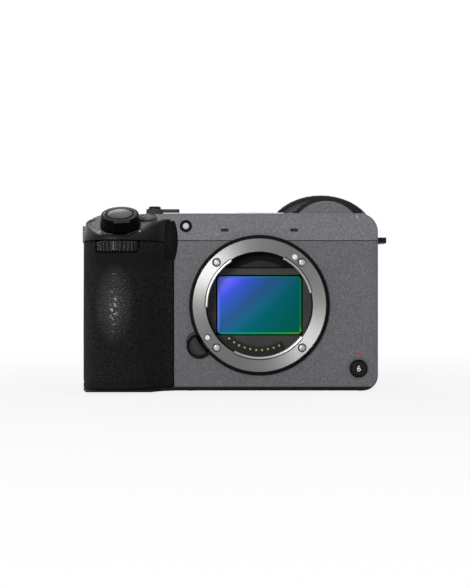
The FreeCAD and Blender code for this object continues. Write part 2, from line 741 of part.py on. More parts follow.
FEET = [(x, y) for x in (-S.foot_left + 16, S.foot_right) for y in (-S.foot_front, S.foot_rear)]
feet = [rod(f"foot_{index}", S.foot_radius, S.foot_height + 0.2, (x, y, -S.foot_height))
        for index, (x, y) in enumerate(FEET)]
socket_bush = rod("socket_bush", S.bush_radius + 1.5, S.thread_depth + 0.8, (0, 0, 0))
base_vents = [box(f"base_vent_{index}", (S.fan_x - 11, S.fan_x + 11),
                  (S.fan_front - 1 + 3 * index, S.fan_front + 0.4 + 3 * index), (-1, S.base_thick + 1))
              for index in range(3)]
BAY_AXIS = (-S.bay_right - 1.2, S.base_thick / 2)
PIN_SEAT = 1.5
bay_pin = rod("bay_pin", S.bay_pin, S.bay_rear + S.bay_front + (S.slit + PIN_SEAT) * 2,
              (BAY_AXIS[0], BAY_Y[0] - S.slit - PIN_SEAT, BAY_AXIS[1]), BACKWARD)
nose_rise = box("nose_rise", (0, TRIM), (0, TRIM), (0, TRIM))
place(nose_rise, (-S.body_left - 1, -S.bay_front - 0.5, 0),
      Rotation(Vector(1, 0, 0), 180 - number(S.nose_slope)))
floor_cut = cut("base_plate_cut", fuse("base_plate_form", floor, socket_bush, *feet), nose_rise,
                bay_opening("bay_opening", S.slit),
                rod("socket_bore", S.thread_radius, S.thread_depth, (0, 0, 0)),
                *base_vents)
node("base_plate", fuse("base_plate_with_pin", floor_cut, bay_pin))

# Front cover



def mount_rod(name, radius, start, end, x=0, z=0):
    """A rod along the lens axis, between two distances in front of the tripod axis."""
    return rod(name, radius, end - start, (x, -start, S.axis_height + z), FORWARD)


RELEASE = (-S.release_left, -S.release_down)
LOCK = (-S.lock_left, -S.lock_down)
RECORD = (S.record_x, S.record_height - S.axis_height)
release_play = S.release_radius + S.slit
side_cut_front = box("port_door_gap", (S.body_right - S.door_thick - 0.6, FAR_RIGHT),
                     (-S.port_front - S.slit, S.port_rear + S.slit),
                     (S.port_base - S.slit, S.port_top + S.slit))
front_cover = cut("front_cover_cut", common("front_cover_form", shell, front_region),
                  mount_rod("mount_hole", S.collar_spigot + S.glue, S.front_face - 5, S.front_face + 5),
                  mount_rod("release_hole", release_play, S.front_face - 5, S.front_face + 5, *RELEASE),
                  mount_rod("record_hole", S.record_radius + S.slit, S.front_face - 5,
                            S.front_face + 5, *RECORD),
                  taper("record_dish", S.record_radius + S.slit, S.record_dish,
                                        0.7, (RECORD[0], FRONT + 0.7, S.record_height), FORWARD),
                  side_cut_front)
node("front_cover", front_cover)

# Top cover

MIC_Y = (FRONT - 1, FRONT + S.wall + 1)


def mic_slot(name, x):
    middle = box(name + "_middle", (x - S.mic_half_width + S.mic_radius, x + S.mic_half_width - S.mic_radius),
                 MIC_Y, (S.mic_height - S.mic_radius, S.mic_height + S.mic_radius))
    ends = [rod(f"{name}_{index}", S.mic_radius, S.wall + 2,
                (x + side * (S.mic_half_width - S.mic_radius), MIC_Y[0], S.mic_height), BACKWARD)
            for index, side in enumerate((-1, 1))]
    return fuse(name, middle, *ends)


STEM = 2.2
POWER = (-S.power_x, -S.power_front)
TOP_BUTTON = (-S.top_button_x, -S.top_button_front)
REAR_DIAL = (-S.rear_dial_x, S.rear_dial_back)
dial_play = S.slit
rear_dial_slot = rod("rear_dial_slot", S.rear_dial_radius + dial_play, S.rear_dial_thick + dial_play * 2,
                     (*REAR_DIAL, S.rear_dial_base - dial_play))
EAR_LEFT = (S.finder_x - 17.6, S.finder_x - 15.9)
EAR_RIGHT = (S.finder_x + 15.9, S.finder_x + 17.6)
EAR_RADIUS = S.finder_pin + 0.6
PIVOT = (S.finder_pivot_back, S.finder_height + S.finder_pivot_rise)
PIN_REACH = 2.6


def finder_ear(name, span, pin_from):
    post = box(name + "_post", span, (PIVOT[0] - 3.6, S.finder_front - FINDER_PLAY),
               (S.body_height - S.wall, PIVOT[1] + EAR_RADIUS))
    knuckle = rod(name + "_knuckle", EAR_RADIUS, span[1] - span[0], (span[0], *PIVOT), PORT)
    pin = rod(name + "_pin", S.finder_pin, PIN_REACH + span[1] - span[0], (pin_from, *PIVOT), PORT)
    return [post, knuckle, pin]


ears = (finder_ear("ear_left", EAR_LEFT, EAR_LEFT[0])
        + finder_ear("ear_right", EAR_RIGHT, EAR_RIGHT[0] - PIN_REACH))
dial_axle = rod("rear_dial_axle", 1.2, S.rear_dial_thick + S.slit * 2 + 3,
                (*REAR_DIAL, S.rear_dial_base - S.slit))
dial_post = rod("rear_dial_post", 2.6, S.body_height - S.rear_dial_base - S.rear_dial_thick - S.slit,
                (*REAR_DIAL, S.rear_dial_base + S.rear_dial_thick + S.slit))
top_form = fuse("top_cover_form", common("top_shell", shell, top_region), dial_axle, dial_post, *ears)
deck_holes = [
    on_deck(rod("shutter_hole", STEM + S.slit, 20, (0, 0, 0)), 0, 0, -10),
    on_deck(rod("deck_button_hole", S.deck_button_radius + S.slit, 20, (0, 0, 0)),
            S.zoom_x - S.deck_button_x, S.deck_button_up, -10),
]
top_holes = [
    rod("power_hole", STEM + S.slit, 20, (*POWER, S.body_height - 10)),
    rod("top_button_hole", S.top_button_radius + S.slit, 20, (*TOP_BUTTON, S.body_height - 10)),
    rod("pivot_groove", EAR_RADIUS + S.slit, EAR_RIGHT[0] - EAR_LEFT[1], (EAR_LEFT[1], *PIVOT), PORT),
    mount_rod("lamp_hole", S.lamp_radius + S.glue, S.front_face - 5, S.front_face + 5,
              -S.lamp_x, S.lamp_height - S.axis_height),
    mic_slot("mic_port", S.mic_x),
    mic_slot("mic_grip", -S.mic_x),
    cut("rear_dial_way", rear_dial_slot, dial_axle, dial_post),
] + top_bush_bores("top_thread", S.thread_radius, S.thread_depth)
deck_rim = spin("deck_rim", [
    (S.deck_button_radius + S.slit, -0.5),
    (S.deck_button_radius + 1.1, -0.5),
    (S.deck_button_radius + 0.9, 0.5),
    (S.deck_button_radius + S.slit, 0.5),
])
on_deck(deck_rim, S.zoom_x - S.deck_button_x, S.deck_button_up, 0)
top_cut = cut("top_cover_cut", top_form, *deck_holes, *top_holes)
node("top_cover", fuse("top_cover_with_rim", top_cut, deck_rim))

# Rear cover, with the thumb rest and pockets for the doors and buttons

THUMB_X = (-S.body_left + 2.5, -S.body_left + 19)
thumb = plate("thumb_rest", [
    (THUMB_X[0], S.stick_height - 12),
    (THUMB_X[1], S.stick_height - 9),
    (THUMB_X[1] - 2, SEAM - 3),
    (THUMB_X[0], SEAM - 3),
], S.thumb_rise + S.wall, (0, S.rear_face + S.thumb_rise, 0), FORWARD, (4.0, 4.0, 4.0, 4.0))
rounded(thumb, 3.0, lambda edge: on_level(edge, 0))
REAR_BUTTONS = {
    "control_wheel": (-S.wheel_x, S.wheel_height, S.wheel_radius),
    "joystick": (-S.stick_x, S.stick_height, S.stick_radius),
    "focus_button": (-S.focus_x, S.focus_height, S.rear_button_radius),
    "menu_button": (-S.menu_x, S.menu_height, S.rear_button_radius),
    "playback_button": (-S.play_x, S.play_height, S.rear_button_radius),
}
rear_holes = [rod(name + "_hole", radius + S.slit, 20, (x, REAR - 10, z), BACKWARD)
              for name, (x, z, radius) in REAR_BUTTONS.items() if name != "control_wheel"]
wheel_hub_hole = rod("wheel_hub_hole", S.centre_radius + 1.6, 20, (-S.wheel_x, REAR - 10, S.wheel_height),
                     BACKWARD)
wheel_dish = rod("wheel_dish", S.wheel_radius + S.slit, 20, (-S.wheel_x, REAR - 1.0, S.wheel_height),
                 BACKWARD)
card_gap = box("card_door_gap", (FAR_LEFT, -S.body_left + S.door_thick + 0.3),
               (S.card_front - S.door_swing_gap, S.card_rear + S.slit),
               (S.card_base - S.slit, S.card_top + S.slit))
rear_vents = [box(f"rear_vent_{index}", (S.body_right - S.wall - 1, FAR_RIGHT),
                  (S.port_rear + 2.4 + 2.6 * index, S.port_rear + 3.8 + 2.6 * index),
                  (S.port_base + 6, S.port_top - 6)) for index in range(3)]
CARD_PIN_X = -S.body_left + S.door_thick / 2
PORT_PIN_X = S.body_right - S.door_thick / 2


def side_pin(name, pin_x, front, base, top):
    """A hinge pin that is seated in the cover beyond both ends of its door."""
    seat = S.slit + PIN_SEAT
    return rod(name, S.door_pin, top - base + seat * 2, (pin_x, front + S.door_inset, base - seat))


rear_cut = cut("rear_cover_cut",
               fuse("rear_cover_form", common("rear_shell", shell, rear_region), thumb),
               wheel_hub_hole, wheel_dish, card_gap, side_cut_front, *rear_holes, *rear_vents)
node("rear_cover", fuse("rear_cover_with_pins", rear_cut,
                        side_pin("card_pin", CARD_PIN_X, S.card_front, S.card_base, S.card_top),
                        side_pin("port_pin", PORT_PIN_X, -S.port_front, S.port_base, S.port_top)))

# Grip: frame, skin and the smooth band under the deck

DIAL_X = -S.front_dial_x
DIAL_Y = -S.front_dial_front
DIAL_TOP = S.front_dial_base + S.front_dial_thick
SLOT_HALF = S.front_dial_radius - 0.9
dial_window = box("dial_window", (DIAL_X - SLOT_HALF, DIAL_X + SLOT_HALF), (-TRIM, DIAL_Y),
                  (S.front_dial_base - S.slit, DIAL_TOP + S.slit))
ROOF = (S.front_dial_base - S.slit - S.frame_wall, S.front_dial_base - S.slit)
skin_zone = box("skin_zone", (FAR_LEFT, -S.grip_right - NEAR), (-TRIM, GRIP_END - S.slit),
                (S.base_thick + NEAR, S.band_base - NEAR))
hollow_zone = box("hollow_zone", (FAR_LEFT, -S.grip_right - S.frame_wall), (-TRIM, TRIM),
                  (-1, ROOF[0]))
dial_zone = box("dial_zone", (FAR_LEFT, -S.grip_right - S.frame_wall), (-TRIM, TRIM), (ROOF[1], TRIM))
front_axle = rod("front_dial_axle", 1.2, S.front_dial_thick + S.slit + 1, (DIAL_X, DIAL_Y, ROOF[1]))
dial_sweep = rod("dial_sweep", S.front_dial_radius + S.slit, S.front_dial_thick + S.slit * 2,
                 (DIAL_X, DIAL_Y, ROOF[1]))
grip_frame_shell = cut("grip_frame_shell", common("grip_frame_block", grip_hard, skin_zone),
                       common("battery_room", grip_hollow, hollow_zone),
                       common("dial_room", grip_hollow, dial_zone), dial_window, dial_sweep)
node("grip_frame", fuse("grip_frame_form", grip_frame_shell, front_axle))
node("grip_skin", cut("grip_skin_cut", common("grip_skin_block", grip_outer, skin_zone), grip_bed,
                      dial_window, dial_sweep))
band_zone = box("band_zone", (FAR_LEFT, -S.grip_right - NEAR), (-TRIM, FRONT - NEAR),
                (S.band_base + NEAR, TRIM + 10))
band_bridge = box("band_bridge", (DIAL_X - S.front_dial_radius, DIAL_X + S.front_dial_radius),
                  (-TRIM, DIAL_Y - S.frame_wall), (S.band_base, SEAM - NEAR))
band_hollow = cut("band_hollow", grip_form("band_inner", BAND_WALL - S.slit / 3, S.grip_rear), band_bridge)
over_band = common("over_band", above_deck("over_band_slope", 0),
                   box("over_lip", (FAR_LEFT, 0), (-TRIM, TRIM), (S.band_lip, TRIM + 10)))
band_block = common("grip_band_block", grip_outer, band_zone)
node("grip_band", cut("grip_band_cut", band_block, band_hollow, over_band))


# Lens mount

def forward_spin(name, points, x=0, z=0, ribs=None):
    """A turned piece on the lens side: heights are distances in front of the tripod axis."""
    return spin(name, points, (x, 0, S.axis_height + z), FORWARD, ribs)


FLANGE = S.front_face + S.flange_stand
RING_BACK = FLANGE - S.flange_thick
SPIGOT_END = S.front_face - S.spigot_depth
LIP_END = FLANGE - S.lip_length
CHASSIS = (S.front_face - S.chassis_face - S.chassis_thick, S.front_face - S.chassis_face)
SCREW_SPOTS = [(sx * S.screw_circle * math.sqrt(0.5), sz * S.screw_circle * math.sqrt(0.5))
               for sx in (-1, 1) for sz in (-1, 1)]


def screw_bores(name, start, end, radius):
    return [mount_rod(f"{name}_{index}", radius, start, end, x, z)
            for index, (x, z) in enumerate(SCREW_SPOTS)]


SHANK_HOLE = S.screw_shank + S.glue
lock_hole = mount_rod("lock_hole", S.lock_radius + S.slit, S.front_face - 6, FLANGE + 1, *LOCK)
release_way = mount_rod("release_way", S.release_radius + S.slit, S.front_face - 6, FLANGE + 6, *RELEASE)
collar = forward_spin("collar_form", [
    (S.collar_bore, CHASSIS[1]),
    (S.collar_spigot, CHASSIS[1]),
    (S.collar_spigot, S.front_face),
    (S.collar_radius, S.front_face),
    (S.collar_radius, S.front_face + S.collar_step),
    (S.collar_radius - 0.8, S.front_face + S.collar_step),
    (S.collar_radius - 0.8, S.front_face + S.collar_height),
    (S.flange_radius + S.glue, S.front_face + S.collar_height),
    (S.flange_radius + S.glue, RING_BACK),
    (S.collar_bore, RING_BACK),
])
release_rim = mount_rod("release_rim", S.release_rim, S.front_face, S.front_face + 1.4, *RELEASE)
node("mount_base_ring", cut("mount_base_ring_cut", fuse("collar_with_rim", collar, release_rim),
                            mount_rod("rim_trim", S.collar_bore, CHASSIS[0], FLANGE + 1), lock_hole,
                            release_way,
                            *screw_bores("collar_screw_hole", CHASSIS[0], FLANGE, SHANK_HOLE)))
flange = forward_spin("flange_form", [
    (S.throat_radius, LIP_END),
    (S.throat_radius, FLANGE),
    (S.flange_radius, FLANGE),
    (S.flange_radius, RING_BACK),
    (S.collar_bore - S.glue, RING_BACK),
    (S.collar_bore - S.glue, SPIGOT_END),
    (S.undercut_radius, SPIGOT_END),
    (S.undercut_radius, LIP_END),
])
TAB_SPANS = ((122, 182), (13.7, 62.9), (242, 323))


def bayonet_tab(name, start, end):
    """One arc-shaped lug behind the mount's lip."""
    arc = doc.addObject("Part::Cylinder", name + "_arc")
    bind(arc, "Radius", S.undercut_radius + 0.2)
    bind(arc, "Height", S.tab_thick)
    arc.Angle = end - start
    turn = FORWARD.multiply(Rotation(Vector(0, 0, 1), start))
    place(arc, (0, -LIP_END + S.tab_thick, S.axis_height), turn)
    return arc


tabs = cut("tabs", fuse("tab_arcs", *[bayonet_tab(f"tab_{index}", *span)
                                      for index, span in enumerate(TAB_SPANS)]),
           mount_rod("tab_bore", S.tab_radius, SPIGOT_END, FLANGE))
node("mount_flange_ring", cut("mount_flange_ring_cut", fuse("flange_with_tabs", flange, tabs), lock_hole,
                              *screw_bores("flange_screw_hole", SPIGOT_END, FLANGE + 1, SHANK_HOLE),
                              *screw_bores("flange_head_seat", FLANGE - 0.8, FLANGE + 1,
                                           S.screw_head + S.glue)))
screws = []
for index, (x, z) in enumerate(SCREW_SPOTS):
    head = mount_rod(f"screw_head_{index}", S.screw_head, FLANGE - 0.8, FLANGE - 0.15, x, z)
    shank = mount_rod(f"screw_shank_{index}", S.screw_shank, FLANGE - 0.8 - S.screw_long, FLANGE - 0.8, x, z)
    slot = mount_rod(f"screw_slot_{index}", 0.55, FLANGE - 0.5, FLANGE, x, z)
    screws.append(cut(f"screw_{index}", fuse(f"screw_form_{index}", head, shank), slot))

BUTTON_FACE = S.front_face + 2.2
release_button = mount_rod("release_cap", S.release_radius, CHASSIS[1] + 0.4, BUTTON_FACE, *RELEASE)
node("lens_release_button", cut("lens_release_button_cut", release_button,
                                mount_rod("release_trim", S.collar_radius + S.slit, CHASSIS[0], FLANGE + 2)))
node("lens_lock_pin", mount_rod("lock_pin", S.lock_radius, CHASSIS[1] + 0.4, FLANGE + S.lock_stand, *LOCK))

# Chassis, light chamber and contacts

CHAMBER_END = S.shutter_front + 0.3
chassis_block = box("chassis_plate", (-S.grip_right + 2, S.body_right - 6), (-CHASSIS[1], -CHASSIS[0]),
                    (S.base_thick + 2, SEAM - 3))
chamber_tube = mount_rod("chamber_tube", S.chamber_radius + 2.2, CHAMBER_END, CHASSIS[0] + 0.1)
chassis_foot = box("chassis_foot", (-S.grip_right + 6, S.body_right - 10),
                   (-CHASSIS[0] - 0.1, -CHASSIS[0] + 3), (S.base_thick, S.base_thick + 3.6))
chassis_lip = box("chassis_lip", (-S.grip_right + 6, S.body_right - 10), (-CHASSIS[1], -CHASSIS[0]),
                  (S.base_thick, S.base_thick + 2.1))
BLOCK_IN = S.contact_circle - 1.4
BLOCK_OUT = S.chamber_radius - S.glue
BLOCK_FACE = S.front_face - S.contact_face
BLOCK_ARC = (226.3, 299)
block_arc = doc.addObject("Part::Cylinder", "contact_arc")
bind(block_arc, "Radius", BLOCK_OUT)
bind(block_arc, "Height", BLOCK_FACE - CHAMBER_END)
block_arc.Angle = BLOCK_ARC[1] - BLOCK_ARC[0]
place(block_arc, (0, -CHAMBER_END, S.axis_height), FORWARD.multiply(Rotation(Vector(0, 0, 1), BLOCK_ARC[0])))
PIN_COUNT = 10
PIN_FIRST = 228.2
PIN_STEP = 7.55
PIN_SPOTS = [(S.contact_circle * math.cos(math.radians(PIN_FIRST + PIN_STEP * index)),
              S.contact_circle * math.sin(math.radians(PIN_FIRST + PIN_STEP * index)))
             for index in range(PIN_COUNT)]
pin_play = S.contact_radius + S.glue
node("contact_block", cut("contact_block_cut", block_arc,
                          mount_rod("contact_arc_bore", BLOCK_IN, CHAMBER_END - 1, BLOCK_FACE + 1),
                          *[mount_rod(f"pin_hole_{index}", pin_play, CHAMBER_END - 1, BLOCK_FACE + 1, x, z)
                            for index, (x, z) in enumerate(PIN_SPOTS)]))
pins = [mount_rod(f"contact_pin_{index}", S.contact_radius, CHAMBER_END + 1.2, BLOCK_FACE + S.contact_stand,
                  x, z) for index, (x, z) in enumerate(PIN_SPOTS)]
contact_pins = doc.addObject("Part::Compound", "contact_pin_set")
contact_pins.Links = pins
node("contact_pins", contact_pins)
node("chassis_frame", cut("chassis_cut",
                          fuse("chassis_form", chassis_block, chamber_tube, chassis_foot, chassis_lip),
                          mount_rod("chamber_bore", S.chamber_radius, 0, FLANGE),
                          mount_rod("record_clear", S.record_radius + S.slit, CHASSIS[0] - 1, FLANGE,
                                    *RECORD),
                          mount_rod("lock_clear", S.lock_radius + S.slit, CHASSIS[0] - 6, FLANGE, *LOCK),
                          mount_rod("release_clear", release_play, CHASSIS[0] - 1, FLANGE, *RELEASE),
                          *screw_bores("chassis_screw_hole", CHASSIS[0] - 1, FLANGE, SHANK_HOLE)))

# Shutter

SHUTTER_Y = (-S.shutter_front, -S.shutter_front + S.shutter_thick)
GATE_Z = (S.axis_height - S.gate_half_height, S.axis_height + S.gate_half_height)
BLADE_STEP = 0.5
BLADE_Z = (GATE_Z[1] + 0.8, GATE_Z[1] + 0.8 + S.blade_height)
SHUTTER_TOP = BLADE_Z[1] + 1.4
gate = plate("gate", [
    (-S.gate_half_width, -S.gate_half_height),
    (S.gate_half_width, -S.gate_half_height),
    (S.gate_half_width, S.gate_half_height),
    (-S.gate_half_width, S.gate_half_height),
], 20, (0, 0, S.axis_height), FORWARD)
shutter_body = box("shutter_body", (-S.blade_half_width - 3.4, S.blade_half_width + 3.4), SHUTTER_Y,
                   (GATE_Z[0] - 6, SHUTTER_TOP))
shutter_room = box("shutter_room", (-S.blade_half_width - 0.4, S.blade_half_width + 0.4),
                   (SHUTTER_Y[0] + 0.5, SHUTTER_Y[1] - 0.5), (GATE_Z[0] - 1.5, SHUTTER_TOP - 1.0))
node("shutter_frame", cut("shutter_frame_cut", shutter_body, shutter_room, gate))
for index in range(2):
    start = SHUTTER_Y[0] + 0.9 + BLADE_STEP * index
    node(f"shutter_blade_{index + 1}", box(f"blade_{index + 1}", (-S.blade_half_width, S.blade_half_width),
                                           (start, start + S.blade_thick), BLADE_Z))

# Sensor on its stabiliser: the carriage slides up and down on a plate that slides sideways

SENSOR_Y = -S.front_face - S.flange_stand + S.flange_distance
GLASS_Y = (SENSOR_Y - 1.4 - S.glass_thick, SENSOR_Y - 1.4)
glass_outline = [
    (-S.glass_half_width + S.glass_cut, -S.glass_half_height),
    (S.glass_half_width - S.glass_cut, -S.glass_half_height),
    (S.glass_half_width, -S.glass_half_height + S.glass_cut),
    (S.glass_half_width, S.glass_half_height - S.glass_cut),
    (S.glass_half_width - S.glass_cut, S.glass_half_height),
    (-S.glass_half_width + S.glass_cut, S.glass_half_height),
    (-S.glass_half_width, S.glass_half_height - S.glass_cut),
    (-S.glass_half_width, -S.glass_half_height + S.glass_cut),
]
node("sensor_glass", plate("sensor_glass_form", glass_outline, S.glass_thick,
                           (0, GLASS_Y[1], S.axis_height), FORWARD))
CARRIAGE_Y = (GLASS_Y[1], SENSOR_Y + 2.5)


def centred(name, half_x, half_z, y):
    return box(name, (-half_x, half_x), y, (S.axis_height - half_z, S.axis_height + half_z))


EDGE = 2.4
node("sensor_carriage", fuse("carriage_form",
                             centred("sensor_package", S.glass_half_width + EDGE, S.glass_half_height + EDGE,
                                     (CARRIAGE_Y[0], CARRIAGE_Y[0] + 2.2)),
                             centred("carriage_plate", S.glass_half_width + EDGE * 4,
                                     S.glass_half_height + EDGE * 2, (CARRIAGE_Y[0] + 2.2, CARRIAGE_Y[1]))))
CROSS_Y = (CARRIAGE_Y[1] + S.stabiliser_gap, CARRIAGE_Y[1] + S.stabiliser_gap + 1.0)
BASE_Y = (CROSS_Y[1] + S.stabiliser_gap, CROSS_Y[1] + S.stabiliser_gap + 2.0)
node("stabiliser_slide", cut("cross_form",
                             centred("cross_plate", S.glass_half_width + EDGE * 4,
                                     S.glass_half_height + EDGE * 2, CROSS_Y),
                             centred("cross_window", S.glass_half_width, S.glass_half_height - EDGE,
                                     (CROSS_Y[0] - 1, CROSS_Y[1] + 1))))
STABILISER_X = S.glass_half_width + EDGE * 6
post_spots = [(sx * (STABILISER_X - 1.5), sz * (S.glass_half_height + EDGE))
              for sx in (-1, 1) for sz in (-1, 1)]
posts = [rod(f"stabiliser_post_{index}", 1.2, BASE_Y[0] - SHUTTER_Y[1] + 0.1,
             (x, SHUTTER_Y[1], S.axis_height + z), BACKWARD) for index, (x, z) in enumerate(post_spots)]
node("stabiliser_base", fuse("stabiliser_base_form",
                             centred("stabiliser_plate", STABILISER_X,
                                     S.glass_half_height + EDGE * 2, BASE_Y),
                             *posts))

# Heat sink, main board, fan

SINK_Y = (BASE_Y[1], BASE_Y[1] + 1.4)
BOARD_Y = (S.board_front, S.board_front + 1.2)
FINS = 7
fins = [box(f"sink_fin_{index}", (-18 + 6 * index - 0.6, -18 + 6 * index + 0.6),
            (SINK_Y[1] - 0.1, S.board_front - 0.1), (S.axis_height - 12, S.axis_height + 12))
        for index in range(FINS)]
node("heat_sink", fuse("heat_sink_form",
                       box("sink_plate", (-24, 24), SINK_Y, (S.axis_height - 14, S.axis_height + 14)), *fins))
chips = [box(f"chip_{index}", (x, x + 11), (BOARD_Y[1] - 0.05, BOARD_Y[1] + 1.4), (z, z + 11))
         for index, (x, z) in enumerate(((-16, 42), (0, 42), (-16, 12), (0, 12)))]
board_feet = [box(f"board_foot_{index}", (x, x + 5), (BOARD_Y[0], BOARD_Y[1]), (S.base_thick, 7.5))
              for index, x in enumerate((-30, 8))]
board = fuse("main_board_form", box("board", (-34, 36), BOARD_Y, (7.4, 56)), *chips, *board_feet)
FAN_Z = S.axis_height - 7
HOUSING_Y = (BOARD_Y[1] + 2.6, S.fan_rear + S.slit * 2)
fan_block = box("fan_block", (S.fan_x - S.fan_radius - 2, S.fan_x + S.fan_radius + 2), HOUSING_Y,
                (FAN_Z - S.fan_radius - 2, FAN_Z + S.fan_radius + 2))
fan_room = rod("fan_room", S.fan_radius + 0.7, 30, (S.fan_x, HOUSING_Y[0] + 1.2, FAN_Z), BACKWARD)
fan_outlet = box("fan_outlet", (S.fan_x, S.fan_x + S.fan_radius + 3), (HOUSING_Y[0] + 1.2, TRIM),
                 (FAN_Z - 6, FAN_Z + 6))
fan_pin = rod("fan_pin", 0.9, S.fan_rear - HOUSING_Y[0], (S.fan_x, HOUSING_Y[0], FAN_Z), BACKWARD)
fan_legs = [box(f"fan_leg_{index}", (S.fan_x + side * 8 - 2, S.fan_x + side * 8 + 2),
                (BOARD_Y[1], HOUSING_Y[0] + 0.2), (FAN_Z + 10.5, FAN_Z + 11.8))
            for index, side in enumerate((-1, 1))]
node("fan_housing", fuse("fan_housing_form", cut("fan_housing_cut", fan_block, fan_room, fan_outlet),
                         fan_pin, *fan_legs))
FAN_BLADES = 9
fan_hub = rod("fan_hub", 4.2, S.fan_rear - S.fan_front, (S.fan_x, S.fan_front, FAN_Z), BACKWARD)
fan_vanes = []
for index in range(FAN_BLADES):
    vane = box(f"fan_vane_{index}", (0, S.fan_radius - 3.8), (0, S.fan_rear - S.fan_front - 0.6), (-0.3, 0.3))
    angle = 360 / FAN_BLADES * index
    reach = 3.8
    place(vane, (S.fan_x + reach * math.cos(math.radians(angle)), S.fan_front + 0.3,
                 FAN_Z - reach * math.sin(math.radians(angle))), Rotation(Vector(0, 1, 0), angle))
    fan_vanes.append(vane)
node("fan_rotor", cut("fan_rotor_cut", fuse("fan_rotor_form", fan_hub, *fan_vanes),
                      rod("fan_bore", 1.0, 30, (S.fan_x, S.fan_front - 5, FAN_Z), BACKWARD)))

# Battery, card reader, port sockets

BATTERY_X = (-S.battery_left, -S.battery_left + S.battery_width)
BATTERY_Y = (-S.battery_front, -S.battery_front + S.battery_depth)
battery = plate("battery_form", [
    (BATTERY_X[0], BATTERY_Y[0]),
    (BATTERY_X[1], BATTERY_Y[0]),
    (BATTERY_X[1], BATTERY_Y[1]),
    (BATTERY_X[0], BATTERY_Y[1]),
], S.battery_tall, (0, 0, S.battery_base), UP, (2.0, 2.0, 2.0, 2.0))
node("battery", battery)
CARD_X = (-S.body_left + S.wall + 1.4, -S.body_left + 30)
CARD_Y = (S.card_front + 3.6, S.card_rear - 1.8)
CARD_TOP = S.card_top - 1
card_slots = [box(f"card_slot_{index}", (CARD_X[0] - 1, CARD_X[0] + 26), (CARD_Y[0] + 1.4, CARD_Y[0] + 3.4),
                  (S.card_base + 2 + 19 * index, S.card_base + 18 + 19 * index)) for index in range(2)]
BLOCK_BASE = S.wall + S.corner_base
card_reader = cut("card_reader",
                  fuse("card_form", box("card_block", CARD_X, CARD_Y, (BLOCK_BASE, CARD_TOP)),
                       box("card_stand", (CARD_X[0] + S.corner_grip_base, CARD_X[1]), CARD_Y,
                           (S.base_thick, BLOCK_BASE + 0.1))), *card_slots)
PORT_X = (S.body_right - 12, S.body_right - S.wall - 0.5)
PORT_Y = (-S.port_front + 1.4, S.port_rear - 1.4)
port_block = fuse("port_form", box("port_block", PORT_X, PORT_Y, (BLOCK_BASE, S.port_top - 1.4)),
                  box("port_stand", (PORT_X[0], PORT_X[1] - S.corner_base), PORT_Y,
                      (S.base_thick, BLOCK_BASE + 0.1)))
socket_holes = []
SOCKETS = [
    # bottom, top and half width of each socket, upwards
    (12.0, 15.6, 1.8),
    (20.0, 24.4, 1.4),
    (36.0, 47.0, 1.6),
    (50.0, 53.2, 1.6),
]
for index, (base, top, half) in enumerate(SOCKETS):
    socket_holes.append(box(f"socket_{index}", (PORT_X[0] + 3, PORT_X[1] + 1), (-half, half), (base, top)))
port_sockets = cut("port_sockets", port_block, *socket_holes)
key_board = box("key_board", (-S.focus_x - 8, -S.menu_x + 5), (REAR - S.wall - 3.0, REAR - S.wall - 2.2),
                (S.play_height - 4.5, S.focus_height + 3.6))
boards = doc.addObject("Part::Compound", "board_set")
boards.Links = [board, card_reader, port_sockets, key_board]
node("circuit_boards", boards)


# Doors on the two sides

def side_door(name, side, face, front, rear, base, top):
    """A flap let into a side wall. It swings about a pin along its front edge."""
    inner = face - S.door_thick if side > 0 else face
    outer_face = face if side > 0 else face + S.door_thick
    panel = box(name + "_panel", (inner, outer_face), (front + S.door_inset, rear), (base, top))
    pin_x = CARD_PIN_X if side < 0 else PORT_PIN_X
    barrel = rod(name + "_barrel", S.door_thick / 2, top - base, (pin_x, front + S.door_inset, base))
    bore = rod(name + "_bore", S.door_pin + 0.06, top - base + 2, (pin_x, front + S.door_inset, base - 1))
    return cut(name, fuse(name + "_form", panel, barrel), bore)


card_door = side_door("card_door_form", -1, -S.body_left, S.card_front, S.card_rear,
                      S.card_base, S.card_top)
node("card_door", card_door)
upper_door = side_door("port_upper_form", 1, S.body_right, -S.port_front, S.port_rear,
                       S.port_split + NEAR, S.port_top)
lower_door = side_door("port_lower_form", 1, S.body_right, -S.port_front, S.port_rear,
                       S.port_base, S.port_split - NEAR)
node("port_door_upper", upper_door)
node("port_door_lower", lower_door)
bay_panel = box("bay_panel", (BAY_X[0], BAY_AXIS[0]), BAY_Y, (0, S.base_thick))
bay_barrel = rod("bay_barrel", S.base_thick / 2, S.bay_rear + S.bay_front,
                 (BAY_AXIS[0], BAY_Y[0], BAY_AXIS[1]), BACKWARD)
bay_bore = rod("bay_bore", S.bay_pin + 0.06, S.bay_rear + S.bay_front + 2,
               (BAY_AXIS[0], BAY_Y[0] - 1, BAY_AXIS[1]), BACKWARD)
LATCH_X = (BAY_X[0] + 1.6, BAY_X[0] + 6.6)
LATCH_Y = (-S.bay_front + 14, -S.bay_front + 24)
latch_recess = box("latch_recess", (LATCH_X[0] - 2, LATCH_X[1] + S.slit),
                   (LATCH_Y[0] - S.slit, LATCH_Y[1] + S.slit), (-1, 0.9))
node("battery_door", cut("battery_door_cut", fuse("battery_door_form", bay_panel, bay_barrel), bay_bore,
                         latch_recess))
node("battery_latch", box("latch_form", LATCH_X, LATCH_Y, (0.1, 0.6)))

# Controls on the sloping deck

